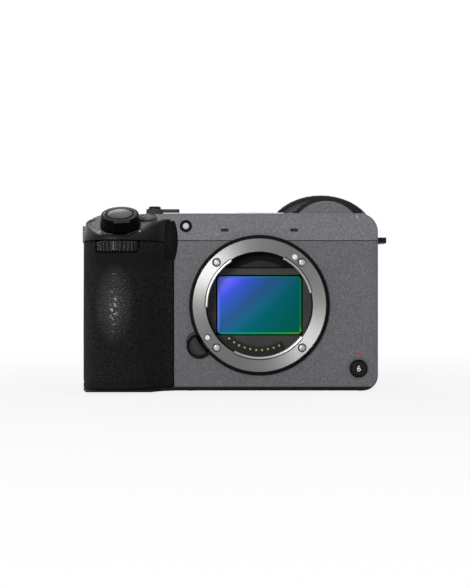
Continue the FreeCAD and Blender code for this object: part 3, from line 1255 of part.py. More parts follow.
lever = spin("zoom_lever_form", [
    (STEM + S.slit * 2 + 0.3, 0.3),
    (S.zoom_foot_radius, 0.3),
    (S.zoom_foot_radius, 1.6),
    (S.zoom_top_radius, S.zoom_height),
    (S.shutter_radius + S.slit, S.zoom_height),
    (S.shutter_radius + S.slit, 2.6),
    (STEM + S.slit * 2 + 0.3, 2.6),
])
TAB_INSIDE = S.zoom_top_radius - 1.2
TAB_TOP = S.zoom_height + 0.1
lever_tab = box("zoom_tab", (-S.tab_half, S.tab_half), (-S.tab_reach, -TAB_INSIDE), (S.tab_base, TAB_TOP))
on_tab(lever_tab, -S.tab_half, -S.tab_reach, S.tab_base)
tab_grooves = [on_tab(rod(f"zoom_groove_{index}", 0.45, S.zoom_height, (0, 0, 0)),
                      1.2 * (index - 2), -S.tab_reach, 1.0) for index in range(5)]
node("zoom_lever", cut("zoom_lever_cut", fuse("zoom_lever_whole", on_deck(lever), lever_tab), *tab_grooves))
button = spin("shutter_button_form", [
    (0, -3.0),
    (STEM, -3.0),
    (STEM, 2.6 + S.shutter_travel + S.slit),
    (S.shutter_radius, 2.6 + S.shutter_travel + S.slit),
    (S.shutter_radius, S.zoom_height + 0.1),
    (S.shutter_radius * 0.6, S.zoom_height + 0.6),
    (0, S.zoom_height + 0.8),
])
node("shutter_button", on_deck(button))
deck_button = spin("deck_button_form", [
    (0, -2.6),
    (S.deck_button_radius, -2.6),
    (S.deck_button_radius, 0.9),
    (S.deck_button_radius * 0.7, 1.3),
    (0, 1.4),
])
node("deck_button", on_deck(deck_button, S.zoom_x - S.deck_button_x, S.deck_button_up, 0))

# Controls on the flat top

TOP = S.body_height
hub = spin("power_hub", [
    (S.power_radius - 0.8, 0.3),
    (S.power_radius, 0.3),
    (S.power_radius, S.power_stand),
    (S.power_radius - 0.8, S.power_stand),
], (*POWER, TOP))
hub_floor = ring("power_floor", 0.9, STEM, 7.8, (*POWER, TOP - 7))
hub_web = ring("power_web", 0.9, S.power_radius - 0.5, 0.5, (*POWER, TOP + 0.3))
arm = box("power_arm", (POWER[0] + S.power_radius - 0.7, POWER[0] + S.power_reach),
          (POWER[1] - 1.6, POWER[1] + 1.6), (TOP + S.power_stand - 1.4, TOP + S.power_stand))
node("power_lever", fuse("power_lever_form", hub, hub_floor, hub_web, arm))
node("mode_button", spin("mode_button_form", [
    (0, -7.6),
    (0.9 - S.slit / 2, -7.6),
    (0.9 - S.slit / 2, 0.9 + S.button_travel),
    (S.power_radius - 0.8 - S.slit, 0.9 + S.button_travel),
    (S.power_radius - 0.8 - S.slit, S.power_stand + 0.9),
    (S.power_radius - 1.2 - S.slit, S.power_stand + 1.2),
    (0, S.power_stand + 1.2),
], (*POWER, TOP)))
node("top_button", spin("top_button_form", [
    (0, -2.4),
    (S.top_button_radius, -2.4),
    (S.top_button_radius, S.top_button_stand - 0.4),
    (S.top_button_radius - 0.4, S.top_button_stand),
    (0, S.top_button_stand),
], (*TOP_BUTTON, TOP)))


def knurled_dial(name, radius, thick, bore, where, count):
    bevel = 0.4
    return spin(name, [
        (bore, 0),
        (radius - bevel, 0),
        (radius, bevel),
        (radius, thick - bevel),
        (radius - bevel, thick),
        (bore, thick),
    ], where, UP, (radius + 0.25, 0.55, count))


node("front_dial", knurled_dial("front_dial_form", S.front_dial_radius, S.front_dial_thick, 1.3,
                                (DIAL_X, DIAL_Y, S.front_dial_base), 36))
node("rear_dial", knurled_dial("rear_dial_form", S.rear_dial_radius, S.rear_dial_thick, 1.3,
                               (*REAR_DIAL, S.rear_dial_base), 32))

# Front record button and lamp

node("record_button", forward_spin("record_button_form", [
    (0, CHASSIS[1] - 1.4),
    (S.record_radius, CHASSIS[1] - 1.4),
    (S.record_radius, S.front_face - 0.4),
    (S.record_radius * 0.7, S.front_face + 0.3),
    (0, S.front_face + 0.3),
], *RECORD))
node("front_lamp", forward_spin("front_lamp_form", [
    (0, S.front_face - S.wall),
    (S.lamp_radius, S.front_face - S.wall),
    (S.lamp_radius, S.front_face + 0.3),
    (S.lamp_radius * 0.55, S.front_face + 0.3),
    (S.lamp_radius * 0.5, S.front_face - 0.1),
    (0, S.front_face - 0.1),
], -S.lamp_x, S.lamp_height - S.axis_height))

# Rear buttons, wheel and joystick

node("control_wheel", spin("control_wheel_form", [
    (S.centre_radius + S.slit, 0.3 - 1.0),
    (S.wheel_radius, 0.3 - 1.0),
    (S.wheel_radius, 0.8),
    (S.wheel_radius - 0.7, 1.3),
    (S.centre_radius + S.slit, 0.9),
], (-S.wheel_x, REAR, S.wheel_height), BACKWARD, (S.wheel_radius + 0.25, 0.5, 40)))
BUTTON_FOOT = -3.0
node("centre_button", spin("centre_button_form", [
    (0, BUTTON_FOOT),
    (S.centre_radius, BUTTON_FOOT),
    (S.centre_radius, 1.0),
    (S.centre_radius - 0.6, 1.4),
    (0, 1.4),
], (-S.wheel_x, REAR, S.wheel_height), BACKWARD))


def rear_button(name):
    x, z, radius = REAR_BUTTONS[name]
    return spin(name + "_form", [
        (0, BUTTON_FOOT),
        (radius, BUTTON_FOOT),
        (radius, 0.7),
        (radius - 0.4, 1.0),
        (0, 1.1),
    ], (x, REAR, z), BACKWARD)


for button_name in ("focus_button", "menu_button", "playback_button"):
    node(button_name, rear_button(button_name))
STICK = (-S.stick_x, REAR, S.stick_height)
node("joystick", spin("joystick_form", [
    (0, -1.0),
    (0.8, -1.0),
    (0.8, 1.8),
    (S.stick_radius - 1.0, 1.8),
    (S.stick_radius - 0.6, 2.2),
    (S.stick_radius - 0.6, 2.8),
    (S.stick_radius - 1.2, 3.2),
    (0, 2.9),
], STICK, BACKWARD))
node("joystick_gimbal", ring("joystick_gimbal_form", 1.0, S.stick_radius - 0.7, 0.8,
                             (-S.stick_x, REAR - 1.4, S.stick_height), BACKWARD))

# Accessory shoe

SHOE_Y = (-S.shoe_front, S.shoe_rear)
SHOE_TOP = S.shoe_floor + S.shoe_slot_height + S.shoe_lip
shoe_block = box("shoe_block", (-S.shoe_half_width, S.shoe_half_width), SHOE_Y,
                 (S.shoe_floor - 1.2, SHOE_TOP))
shoe_slot = box("shoe_slot", (-S.shoe_slot_half, S.shoe_slot_half), (SHOE_Y[0] + 1.4, TRIM),
                (S.shoe_floor, S.shoe_floor + S.shoe_slot_height))
shoe_mouth = box("shoe_mouth", (-S.shoe_gap_half, S.shoe_gap_half), (SHOE_Y[0] + 1.4, TRIM),
                 (S.shoe_floor, TRIM + 10))
node("accessory_shoe", cut("accessory_shoe_cut", shoe_block, shoe_slot, shoe_mouth))

# Strap lugs

LUG_Y = (-S.lug_back - S.lug_half, -S.lug_back + S.lug_half)
lug_outer = box("lug_outer", (S.body_right, S.body_right + S.lug_reach), LUG_Y,
                (S.lug_height - S.lug_bar / 2, S.lug_height + S.lug_bar / 2))
lug_eye = box("lug_eye", (S.body_right + 1.2, S.body_right + S.lug_reach - S.lug_bar),
              (LUG_Y[0] + 2.0, LUG_Y[1] - 2.0), (0, TRIM))
port_lug = cut("port_lug", lug_outer, lug_eye)
side_lug = box("side_lug", (-S.body_left - S.side_lug_reach, -S.body_left + S.wall * 2),
               (S.side_lug_back - 1.2, S.side_lug_back + 1.2), (S.side_lug_base + 5.2, S.side_lug_top))
side_eye = box("side_eye", (-S.body_left - S.side_lug_reach + 1.3, -S.body_left - 0.8), (0, TRIM),
               (S.side_lug_base + 6.8, S.side_lug_top - 1.6))
strap_lugs = doc.addObject("Part::Compound", "strap_lug_pair")
strap_lugs.Links = [port_lug, cut("grip_lug", side_lug, side_eye, outer)]
node("strap_lugs", strap_lugs)

# Viewfinder

CAP_DEEP = 2.6


def finder_rod(name, radius, start, end, height=S.finder_height):
    return rod(name, radius, end - start, (S.finder_x, start, height), BACKWARD)


def over_finder_base(name, grow=0):
    return box(name, (S.finder_x - TRIM, S.finder_x + TRIM), (0, TRIM), (S.finder_base + grow, TRIM + 20))


HOUSE_START = S.finder_front + CAP_DEEP
house = common("house", finder_rod("house_rod", S.finder_radius, HOUSE_START, S.finder_rear),
               over_finder_base("house_base"))
house_room = common("house_room", finder_rod("house_hollow", S.finder_radius - S.finder_wall,
                                             HOUSE_START + S.finder_wall, S.finder_rear - S.finder_wall),
                    over_finder_base("house_floor", S.finder_wall))
ARM_GAP = S.slit
arm_left = (EAR_LEFT[1] + ARM_GAP, EAR_LEFT[1] + ARM_GAP + PIN_REACH)
arm_right = (EAR_RIGHT[0] - ARM_GAP - PIN_REACH, EAR_RIGHT[0] - ARM_GAP)


def finder_arm(name, span):
    block_arm = box(name + "_block", span, (PIVOT[0], HOUSE_START + 3),
                    (PIVOT[1] - EAR_RADIUS, PIVOT[1] + EAR_RADIUS))
    eye = rod(name + "_eye", EAR_RADIUS, span[1] - span[0], (span[0], *PIVOT), PORT)
    return [block_arm, eye]


arm_bores = [rod(f"arm_bore_{index}", S.finder_pin + 0.05, PIN_REACH * 2 + 3,
                 (span[0] - 1.5, *PIVOT), PORT) for index, span in enumerate((arm_left, arm_right))]
eyepiece_hole = finder_rod("eyepiece_hole", S.eyepiece_radius + S.slit, S.finder_rear - S.finder_wall - 1,
                           S.finder_rear + 1, S.cup_centre)
diopter_hole = rod("diopter_hole", 1.3, 20, (S.finder_x + 8, S.diopter_back, S.diopter_height), PORT)
arms = finder_arm("arm_left", arm_left) + finder_arm("arm_right", arm_right)
node("viewfinder_housing", cut("viewfinder_housing_cut",
                               fuse("viewfinder_form", cut("house_shell", house, house_room), *arms),
                               eyepiece_hole, diopter_hole, *arm_bores))
cap_form = spin("cap_form", [
    (0, 0),
    (S.finder_cap_radius - 2.4, 0),
    (S.finder_cap_radius - 0.8, 0.7),
    (S.finder_cap_radius, 2.0),
    (S.finder_cap_radius, CAP_DEEP),
    (0, CAP_DEEP),
], (S.finder_x, S.finder_front, S.finder_height), BACKWARD)
node("viewfinder_cap", cut("viewfinder_cap_cut",
                           common("viewfinder_cap_form", cap_form, over_finder_base("cap_base")), *arms))
node("viewfinder_eyepiece", finder_rod("eyepiece_form", S.eyepiece_radius, S.finder_rear - S.finder_wall,
                                       S.finder_rear - 0.4, S.cup_centre))


def cup_level(back, half_width, half_height, centre):
    """One level of the eyecup: an upright ellipse of four arcs' worth of spline."""
    wide = half_width >= half_height
    ellipse = Part.Ellipse(Vector(number(S.finder_x), back, centre), max(half_width, half_height),
                           min(half_width, half_height))
    ellipse.Axis = Vector(0, 1, 0)
    ellipse.XAxis = Vector(1, 0, 0) if wide else Vector(0, 0, 1)
    return Part.Wire([ellipse.toShape()])


def cup_form(inset):
    start = number(S.finder_rear)
    end = number(S.cup_rear)
    middle = start + (end - start) * 0.45
    centre = number(S.cup_centre)
    seat = number(S.finder_radius) - 1.6 - inset
    levels = [
        cup_level(start, seat + 1.0, seat, number(S.finder_height) + 1.2),
        cup_level(middle, (seat + number(S.cup_half_width)) / 2 + 0.2, seat + 0.4 - inset * 0.2,
                  (number(S.finder_height) + centre) / 2 + 0.4),
        cup_level(end, number(S.cup_half_width) - inset, number(S.cup_half_height) - inset, centre),
    ]
    return Part.makeLoft(levels, True, False)


cup_outer = solid("eyecup_outer", cup_form(0))
cup_inner = solid("eyecup_inner", cup_form(number(S.cup_wall)))
node("viewfinder_eyecup", cut("viewfinder_eyecup_cut", cup_outer, cup_inner))
node("diopter_dial", spin("diopter_dial_form", [
    (0, -6.0),
    (1.2, -6.0),
    (1.2, 0.3),
    (S.diopter_radius, 0.3),
    (S.diopter_radius, 2.4),
    (0, 2.4),
], (S.finder_x + S.finder_radius, S.diopter_back, S.diopter_height), PORT,
                          (S.diopter_radius + 0.2, 0.45, 20)))

# Monitor on its swing hinge

SCREEN_X = (-S.screen_left, S.screen_right)
SCREEN_Z = (S.screen_base, S.screen_top)
SCREEN_DEPTH = S.screen_rear - S.screen_front
screen_frame = plate("screen_frame", [
    (SCREEN_X[0], SCREEN_Z[0]),
    (SCREEN_X[1], SCREEN_Z[0]),
    (SCREEN_X[1], SCREEN_Z[1]),
    (SCREEN_X[0], SCREEN_Z[1]),
], SCREEN_DEPTH, (0, S.screen_rear, 0), FORWARD, (3.0, 1.2, 1.2, 3.0))
rounded(screen_frame, 0.8, lambda edge: on_level(edge, 0) or on_level(edge, number(SCREEN_DEPTH)))
GLASS_X = (SCREEN_X[0] + S.screen_bezel, SCREEN_X[1] - S.screen_bezel)
GLASS_Z = (SCREEN_Z[0] + S.screen_bezel, SCREEN_Z[1] - S.screen_bezel)
glass_seat = box("glass_seat", (GLASS_X[0] - S.glue, GLASS_X[1] + S.glue),
                 (S.screen_rear - S.screen_glass, TRIM), (GLASS_Z[0] - S.glue, GLASS_Z[1] + S.glue))
node("monitor_frame", cut("monitor_frame_cut", screen_frame, glass_seat))
node("monitor_glass", box("monitor_glass_form", GLASS_X,
                          (S.screen_rear - S.screen_glass, S.screen_rear - 0.15), GLASS_Z))
SWING = (S.swing_x, S.swing_back)
arm_body = rod("swing_barrel", S.swing_half, S.swing_top - S.swing_base, (*SWING, S.swing_base))
arm_web = box("swing_web", (S.screen_right, S.swing_x),
              (S.swing_back - S.swing_half, S.swing_back + S.swing_half), (S.swing_base, S.swing_top))
swing_bore = rod("swing_bore", S.swing_pin + 0.08, TRIM, (*SWING, 0))
node("monitor_hinge", cut("monitor_hinge_cut", fuse("monitor_hinge_form", arm_body, arm_web), swing_bore))
bracket_ends = []
for index, (base, top) in enumerate(((S.swing_base - 3.3, S.swing_base - S.slit),
                                     (S.swing_top + S.slit, S.swing_top + 3.3))):
    bracket_ends.append(box(f"bracket_tab_{index}", (S.swing_x - 2.6, S.swing_x + 2.6), (REAR, S.swing_back),
                            (base, top)))
    bracket_ends.append(rod(f"bracket_end_{index}", 2.6, top - base, (*SWING, base)))
bracket_pin = rod("bracket_pin", S.swing_pin, S.swing_top - S.swing_base + 1.2, (*SWING, S.swing_base - 0.6))
node("monitor_bracket", fuse("monitor_bracket_form", bracket_pin, *bracket_ends))

# Screws under the base

COVER_SCREWS = [(-30.0, -19.0), (44.0, -19.0), (-30.0, 14.5), (14.0, 15.5)]
screws += [cut(f"cover_screw_{index}", rod(f"cover_screw_head_{index}", 1.4, 0.3, (x, y, -0.3)),
               rod(f"cover_screw_slot_{index}", 0.5, 0.16, (x, y, -0.31)))
           for index, (x, y) in enumerate(COVER_SCREWS)]
screw_set = doc.addObject("Part::Compound", "screw_set")
screw_set.Links = screws
node("screws", screw_set)

doc.recompute()
FAULTY = ("Invalid", "Error")
for thing in doc.Objects:
    if any(word in thing.State for word in FAULTY):
        raise RuntimeError(f"{thing.Name} did not build: {thing.State}")
os.makedirs("parts", exist_ok=True)
for name, thing in NODES.items():
    thing.Label = name
    shape = thing.Shape
    if shape.isNull() or not shape.isValid() or not shape.Solids:
        raise RuntimeError(f"{name} has no sound shape")
for name, thing in NODES.items():
    thing.Shape.exportStep(f"parts/{name}.step")
print(len(NODES), "pieces written")
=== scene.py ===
"""Looks of the cinema camera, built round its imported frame."""

import math

import bmesh
import bpy
import numpy as np
from mathutils import Matrix, Vector


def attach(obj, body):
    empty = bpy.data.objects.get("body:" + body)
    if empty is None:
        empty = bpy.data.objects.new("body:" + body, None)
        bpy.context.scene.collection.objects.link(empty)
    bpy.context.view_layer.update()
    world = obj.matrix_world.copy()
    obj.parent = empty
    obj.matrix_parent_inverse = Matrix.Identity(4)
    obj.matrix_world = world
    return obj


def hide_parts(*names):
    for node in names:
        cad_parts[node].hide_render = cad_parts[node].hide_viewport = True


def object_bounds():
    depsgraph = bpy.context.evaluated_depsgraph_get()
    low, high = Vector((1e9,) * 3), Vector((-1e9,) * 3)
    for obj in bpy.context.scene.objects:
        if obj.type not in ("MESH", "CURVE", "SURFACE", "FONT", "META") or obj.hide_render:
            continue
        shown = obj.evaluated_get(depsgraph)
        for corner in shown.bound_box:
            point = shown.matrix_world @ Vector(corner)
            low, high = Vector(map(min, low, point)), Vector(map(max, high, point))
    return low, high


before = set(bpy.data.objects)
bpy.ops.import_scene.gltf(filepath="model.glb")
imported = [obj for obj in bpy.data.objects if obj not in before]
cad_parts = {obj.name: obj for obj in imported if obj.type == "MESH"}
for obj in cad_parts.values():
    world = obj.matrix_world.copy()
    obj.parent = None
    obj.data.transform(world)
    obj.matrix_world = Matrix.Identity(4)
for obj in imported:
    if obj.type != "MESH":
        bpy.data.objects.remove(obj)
CAD_BOX = [list(corner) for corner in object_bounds()]
MM = 0.001

# Places of the solids that pieces are fitted to, in millimetres. Ahead and behind count from the tripod axis.
AXIS_HEIGHT = 37.0
FRONT_FACE = 24.5
FLANGE = 28.0
KEY_FACE = 21.15
ZOOM_FOOT = (-59.2, -31.5, 70.5)
RING_X, RING_Z = -46.0, 29.0
RECORD_X = 43.0
EYEPIECE_X, EYEPIECE_Z = 30.8, 72.4
FINGER_SWELL_X = -60.5
TILT = math.radians(28)
DECK_UP = (0, -math.sin(TILT), math.cos(TILT))
FORWARD = (0, -1, 0)
BACKWARD = (0, 1, 0)


def deck_spot(across, along, above):
    """A place on the sloping deck, in millimetres from the zoom lever's foot."""
    return (ZOOM_FOOT[0] + across, ZOOM_FOOT[1] + along * math.cos(TILT) - above * math.sin(TILT),
            ZOOM_FOOT[2] + along * math.sin(TILT) + above * math.cos(TILT))


# Materials

class Look:
    """A procedural material whose node tree is built by short calls."""

    def __init__(self, name, **values):
        self.material = bpy.data.materials.new(name)
        self.material.use_nodes = True
        self.tree = self.material.node_tree
        self.shader = next(n for n in self.tree.nodes if n.type == "BSDF_PRINCIPLED")
        self.place = self.add("ShaderNodeTexCoord").outputs["Object"]
        for socket, value in values.items():
            self.shader.inputs[socket.replace("_", " ")].default_value = value

    def add(self, kind, **settings):
        node = self.tree.nodes.new(kind)
        for key, value in settings.items():
            setattr(node, key, value)
        return node

    def link(self, source, target):
        self.tree.links.new(source, target)

    def into(self, socket, source):
        """Feeds a socket of the surface's own shader."""
        self.link(source, self.shader.inputs[socket])

    def moved(self, offset=(0, 0, 0), scale=(1, 1, 1)):
        """The place in millimetres, measured from a point given in millimetres."""
        mapping = self.add("ShaderNodeMapping")
        self.link(self.place, mapping.inputs["Vector"])
        mapping.inputs["Scale"].default_value = [s / MM for s in scale]
        mapping.inputs["Location"].default_value = [-o * s for o, s in zip(offset, scale)]
        return mapping.outputs["Vector"]

    def noise(self, size, detail=2.0, rough=0.5, scale=(1, 1, 1)):
        """Noise whose grains are about size millimetres wide."""
        node = self.add("ShaderNodeTexNoise")
        self.link(self.moved(scale=scale), node.inputs["Vector"])
        node.inputs["Scale"].default_value = 1 / size
        node.inputs["Detail"].default_value = detail
        node.inputs["Roughness"].default_value = rough
        return node.outputs["Fac"]

    def cells(self, size, feature, randomness, scale=(1, 1, 1)):
        """Distance to the middle or the edge of cells about size millimetres wide."""
        node = self.add("ShaderNodeTexVoronoi", feature=feature)
        self.link(self.moved(scale=scale), node.inputs["Vector"])
        node.inputs["Scale"].default_value = 1 / size
        node.inputs["Randomness"].default_value = randomness
        return node.outputs["Distance"]

    def rings(self, pitch, centre, distortion):
        """Waves round an axis that points forward, a pitch in millimetres apart."""
        node = self.add("ShaderNodeTexWave", wave_type="RINGS", rings_direction="Y")
        self.link(self.moved(centre), node.inputs["Vector"])
        node.inputs["Scale"].default_value = math.pi / (10 * pitch)
        node.inputs["Distortion"].default_value = distortion
        node.inputs["Detail"].default_value = 1.0
        return node.outputs["Fac"]

    def near(self, centre, reach, inner, outer):
        """1 within inner of an oval patch, fading to 0 at outer. A direction with a reach of 0 doesn't count."""
        away = self.add("ShaderNodeVectorMath", operation="LENGTH")
        self.link(self.moved(centre, [1 / r if r else 0.0 for r in reach]), away.inputs[0])
        return self.span(away.outputs["Value"], inner, outer, 1.0, 0.0)

    def off_axis(self, point, axis):
        """Millimetres from the line through a point along a direction of length 1."""
        cross = self.add("ShaderNodeVectorMath", operation="CROSS_PRODUCT")
        self.link(self.moved(point), cross.inputs[0])
        cross.inputs[1].default_value = axis
        away = self.add("ShaderNodeVectorMath", operation="LENGTH")
        self.link(cross.outputs[0], away.inputs[0])
        return away.outputs["Value"]

    def part(self, letter, source=None):
        """One coordinate of the place, in millimetres."""
        split = self.add("ShaderNodeSeparateXYZ")
        self.link(source or self.moved(), split.inputs[0])
        return split.outputs[letter]

    def span(self, source, low, high, to_low=0.0, to_high=1.0):
        """A value between low and high, carried to between two others and held there."""
        node = self.add("ShaderNodeMapRange")
        node.clamp = True
        self.link(source, node.inputs["Value"])
        for key, value in (("From Min", low), ("From Max", high), ("To Min", to_low), ("To Max", to_high)):
            node.inputs[key].default_value = value
        return node.outputs["Result"]

    def ramp(self, source, *stops):
        """Colours that a value runs through, each with its place."""
        node = self.add("ShaderNodeValToRGB")
        band = node.color_ramp
        while len(band.elements) > 1:
            band.elements.remove(band.elements[-1])
        for index, (where, colour) in enumerate(stops):
            element = band.elements[0] if index == 0 else band.elements.new(where)
            element.position = where
            element.color = (*colour, 1)
        self.link(source, node.inputs["Fac"])
        return node.outputs["Color"]

    def mix(self, factor, first, second, mode="MIX"):
        """Two colours, each a socket or a tuple, mixed by a socket or a number."""
        node = self.add("ShaderNodeMix", data_type="RGBA", blend_type=mode)
        for index, value in ((0, factor), (6, first), (7, second)):
            if isinstance(value, (int, float)):
                node.inputs[index].default_value = value
            elif isinstance(value, tuple):
                node.inputs[index].default_value = (*value, 1)
            else:
                self.link(value, node.inputs[index])
        return node.outputs[2]

    def calc(self, first, second, operation="ADD"):
        """Two values, each a socket or a number, put together by a Math node."""
        node = self.add("ShaderNodeMath", operation=operation)
        for index, value in enumerate((first, second)):
            if isinstance(value, (int, float)):
                node.inputs[index].default_value = value
            else:
                self.link(value, node.inputs[index])
        return node.outputs[0]

    def outside(self, across, height, wide, tall, soft):
        """0 inside a rectangle of two half sizes, 1 outside it."""
        side = self.calc(self.calc(across, 0, "ABSOLUTE"), -wide)
        end = self.calc(self.calc(height, 0, "ABSOLUTE"), -tall)
        return self.span(self.calc(side, end, "MAXIMUM"), -soft, soft)

    def bump(self, height, depth, strength=1.0):
        """Relief of a height in millimetres. Calls stack."""
        node = self.add("ShaderNodeBump")
        node.inputs["Strength"].default_value = strength
        node.inputs["Distance"].default_value = depth * MM
        self.link(height, node.inputs["Height"])
        old = self.shader.inputs["Normal"].links
        if old:
            self.link(old[0].from_socket, node.inputs["Normal"])
        self.into("Normal", node.outputs["Normal"])

    def soft_edges(self, radius=0.18):
        """Rounds the shading over sharp edges and returns where they are."""
        bevel = self.add("ShaderNodeBevel", samples=6)
        bevel.inputs["Radius"].default_value = radius * MM
        self.into("Normal", bevel.outputs["Normal"])
        turn = self.add("ShaderNodeVectorMath", operation="DOT_PRODUCT")
        self.link(bevel.outputs["Normal"], turn.inputs[0])
        self.link(self.add("ShaderNodeNewGeometry").outputs["Normal"], turn.inputs[1])
        return self.span(turn.outputs["Value"], 0.995, 0.88)


def grey_paint(name="grey_paint", level=1.0, pad=False):
    """Speckled paint, a little paler over its edges as a painted highlight."""
    look = Look(name, Specular_IOR_Level=0.3)
    edge = look.soft_edges(0.22)
    speckle = look.noise(0.55, 2.0, 0.7)
    tones = ((0.28, 0.089), (0.43, 0.122), (0.57, 0.150), (0.72, 0.230))
    tone = look.ramp(speckle, *[(where, (t * level, t * level, t * level * 1.09)) for where, t in tones])
    broad = look.ramp(look.noise(26, 2.0), (0.3, (0.94, 0.94, 0.94)), (0.7, (1.0, 1.0, 1.0)))
    # The paler edges are a painted highlight.
    colour_with_edge_highlight = look.mix(edge, look.mix(1.0, tone, broad, "MULTIPLY"), (0.21, 0.21, 0.225))
    if pad:
        # Pebbled rubber over the thumb rest, which stands out from the flat rear face
        rubber = look.span(look.part("Y"), 20.7, 20.9)
        colour_with_edge_highlight = look.mix(rubber, colour_with_edge_highlight, (0.0045, 0.0045, 0.0045))
        pebbles = look.span(look.calc(look.cells(1.0, "F1", 0.9), 2, "POWER"), 0.45, 0.0)
        look.bump(look.calc(pebbles, rubber, "MULTIPLY"), 0.22, 1.0)
    look.into("Base Color", colour_with_edge_highlight)
    look.into("Roughness", look.span(look.noise(0.3), 0.3, 0.7, 0.45, 0.62))
    look.bump(speckle, 0.030, 0.6)
    return look.material


def black_plastic(name="black_plastic", tone=0.007, rough=0.46, grain=0.28, depth=0.02, level=0.2, lip=0.18):
    """Moulded black with a grain of a size and depth in millimetres, and paler over its edges by a lip's width as a
    painted highlight.
    """
    look = Look(name, Specular_IOR_Level=level)
    edge = look.soft_edges(lip)
    grit = look.noise(grain, 2.0, 0.6)
    colour = look.ramp(look.noise(9.0, 3.0), (0.3, (tone * 0.85,) * 3),
                       (0.7, (tone * 1.15, tone * 1.15, tone * 1.2)))
    # The paler edges are a painted highlight.
    look.into("Base Color", look.mix(edge, colour, (tone * 2.2,) * 3))
    look.into("Roughness", look.span(grit, 0.3, 0.7, rough - 0.06, rough + 0.08))
    look.bump(grit, depth, 0.5)
    return look.material


def band_black():
    """Satin black over the brow, swelling and polished under the zoom lever."""
    look = Look("band_black", Specular_IOR_Level=0.34)
    look.soft_edges(0.9)
    polished = look.near((-64.5, 0, 67.4), (13, 0, 4.2), 0.1, 1.2)
    grit = look.noise(0.5, 2.0, 0.6)
    look.into("Base Color", look.mix(grit, (0.0026, 0.0026, 0.0026), (0.004, 0.004, 0.0042)))
    look.into("Roughness", look.calc(look.span(polished, 0, 1, 0.5, 0.34), look.span(grit, 0.3, 0.7, -0.03, 0.03)))
    look.bump(look.near((-64.5, 0, 66.6), (16, 0, 4.6), 0.0, 1.3), 1.6, 1.0)
    look.bump(grit, 0.006, 0.5)
    return look.material


def shutter_dome():
    """The shutter button's smooth grey face, domed in its shading and black round its edge."""
    look = Look("shutter_dome", Specular_IOR_Level=0.4)
    away = look.off_axis(deck_spot(0, 0, 0), DECK_UP)
    grain = look.noise(0.4, 2.0)
    tone = look.mix(grain, (0.082, 0.082, 0.088), (0.100, 0.100, 0.107))
    look.into("Base Color", look.mix(look.span(away, 5.15, 5.3), tone, (0.002, 0.002, 0.002)))
    look.into("Roughness", look.span(grain, 0.3, 0.7, 0.36, 0.46))
    look.bump(look.span(look.calc(away, 2, "POWER"), 0, 28, 1.0, 0.0), 0.8, 1.0)
    return look.material


def grip_leather():
    """Pebbled rubber, polished where fingers lie, with painted shade under the dial, and smooth below the seam at
    its foot.
    """
    look = Look("grip_leather", Specular_IOR_Level=0.34, Coat_Roughness=0.26)
    above = look.span(look.part("Z"), 4.25, 4.4)
    polished = look.near((FINGER_SWELL_X, 0, 37.5), (7, 0, 14.5), 0.3, 1.2)
    coarse = look.near((-62, 0, 33), (13, 0, 26), 0.4, 1.3)
    pebbles = look.span(look.calc(look.cells(1.3, "F1", 0.95, (1.0, 1.0, 1.3)), 2, "POWER"), 0.45, 0.0)
    fine = look.noise(0.5, 2.0)
    # Darker in the pebbles' hollows and paler on their tops.
    tone = look.ramp(pebbles, (0.15, (0.0003,) * 3), (0.5, (0.0035,) * 3), (0.9, (0.0095,) * 3))
    # Painted shade: the colour goes to black under the dial.
    brow = look.near((-58, 0, 56.5), (22, 0, 4.6), 0.5, 1.2)
    look.into("Base Color", look.mix(above, (0.0012,) * 3, look.mix(brow, tone, (0.0,) * 3)))
    look.into("Roughness", look.calc(look.span(polished, 0, 1, 0.86, 0.5), look.span(fine, 0.3, 0.7, -0.03, 0.03)))
    amount = look.calc(above, look.span(coarse, 0, 1, 0.7, 1.0), "MULTIPLY")
    look.bump(look.calc(pebbles, amount, "MULTIPLY"), 0.5, 1.0)
    look.bump(look.calc(fine, above, "MULTIPLY"), 0.05, 0.5)
    look.into("Coat Weight", look.span(polished, 0, 1, 0.0, 1.0))
    look.into("Coat Normal", look.shader.inputs["Normal"].links[0].from_socket)
    return look.material


def turned_steel(name="turned_steel", tone=0.285):
    """Steel with fine lathe lines round the lens axis."""
    look = Look(name, Metallic=1.0, Anisotropic=0.85, Anisotropic_Rotation=0.25, Roughness=0.36)
    look.soft_edges(0.2)
    tangent = look.add("ShaderNodeTangent", direction_type="RADIAL", axis="Y")
    look.into("Tangent", tangent.outputs[0])
    lines = look.rings(0.22, (0, -FLANGE, AXIS_HEIGHT), 1.2)
    look.into("Base Color", look.mix(lines, (tone * 0.84, tone * 0.83, tone * 0.81),
                                     (tone * 1.1, tone * 1.09, tone * 1.07)))
    look.bump(lines, 0.006, 0.35)
    return look.material


def plain_metal(name, colour, rough):
    """Metal with short streaks."""
    look = Look(name, Metallic=1.0)
    look.soft_edges(0.15)
    streaks = look.noise(0.5, 3.0, 0.6, (1, 1, 14))
    dark = tuple(c * 0.86 for c in colour)
    look.into("Base Color", look.mix(streaks, dark, colour))
    look.into("Roughness", look.span(streaks, 0.25, 0.75, rough - 0.07, rough + 0.08))
    look.bump(streaks, 0.01, 0.35)
    return look.material


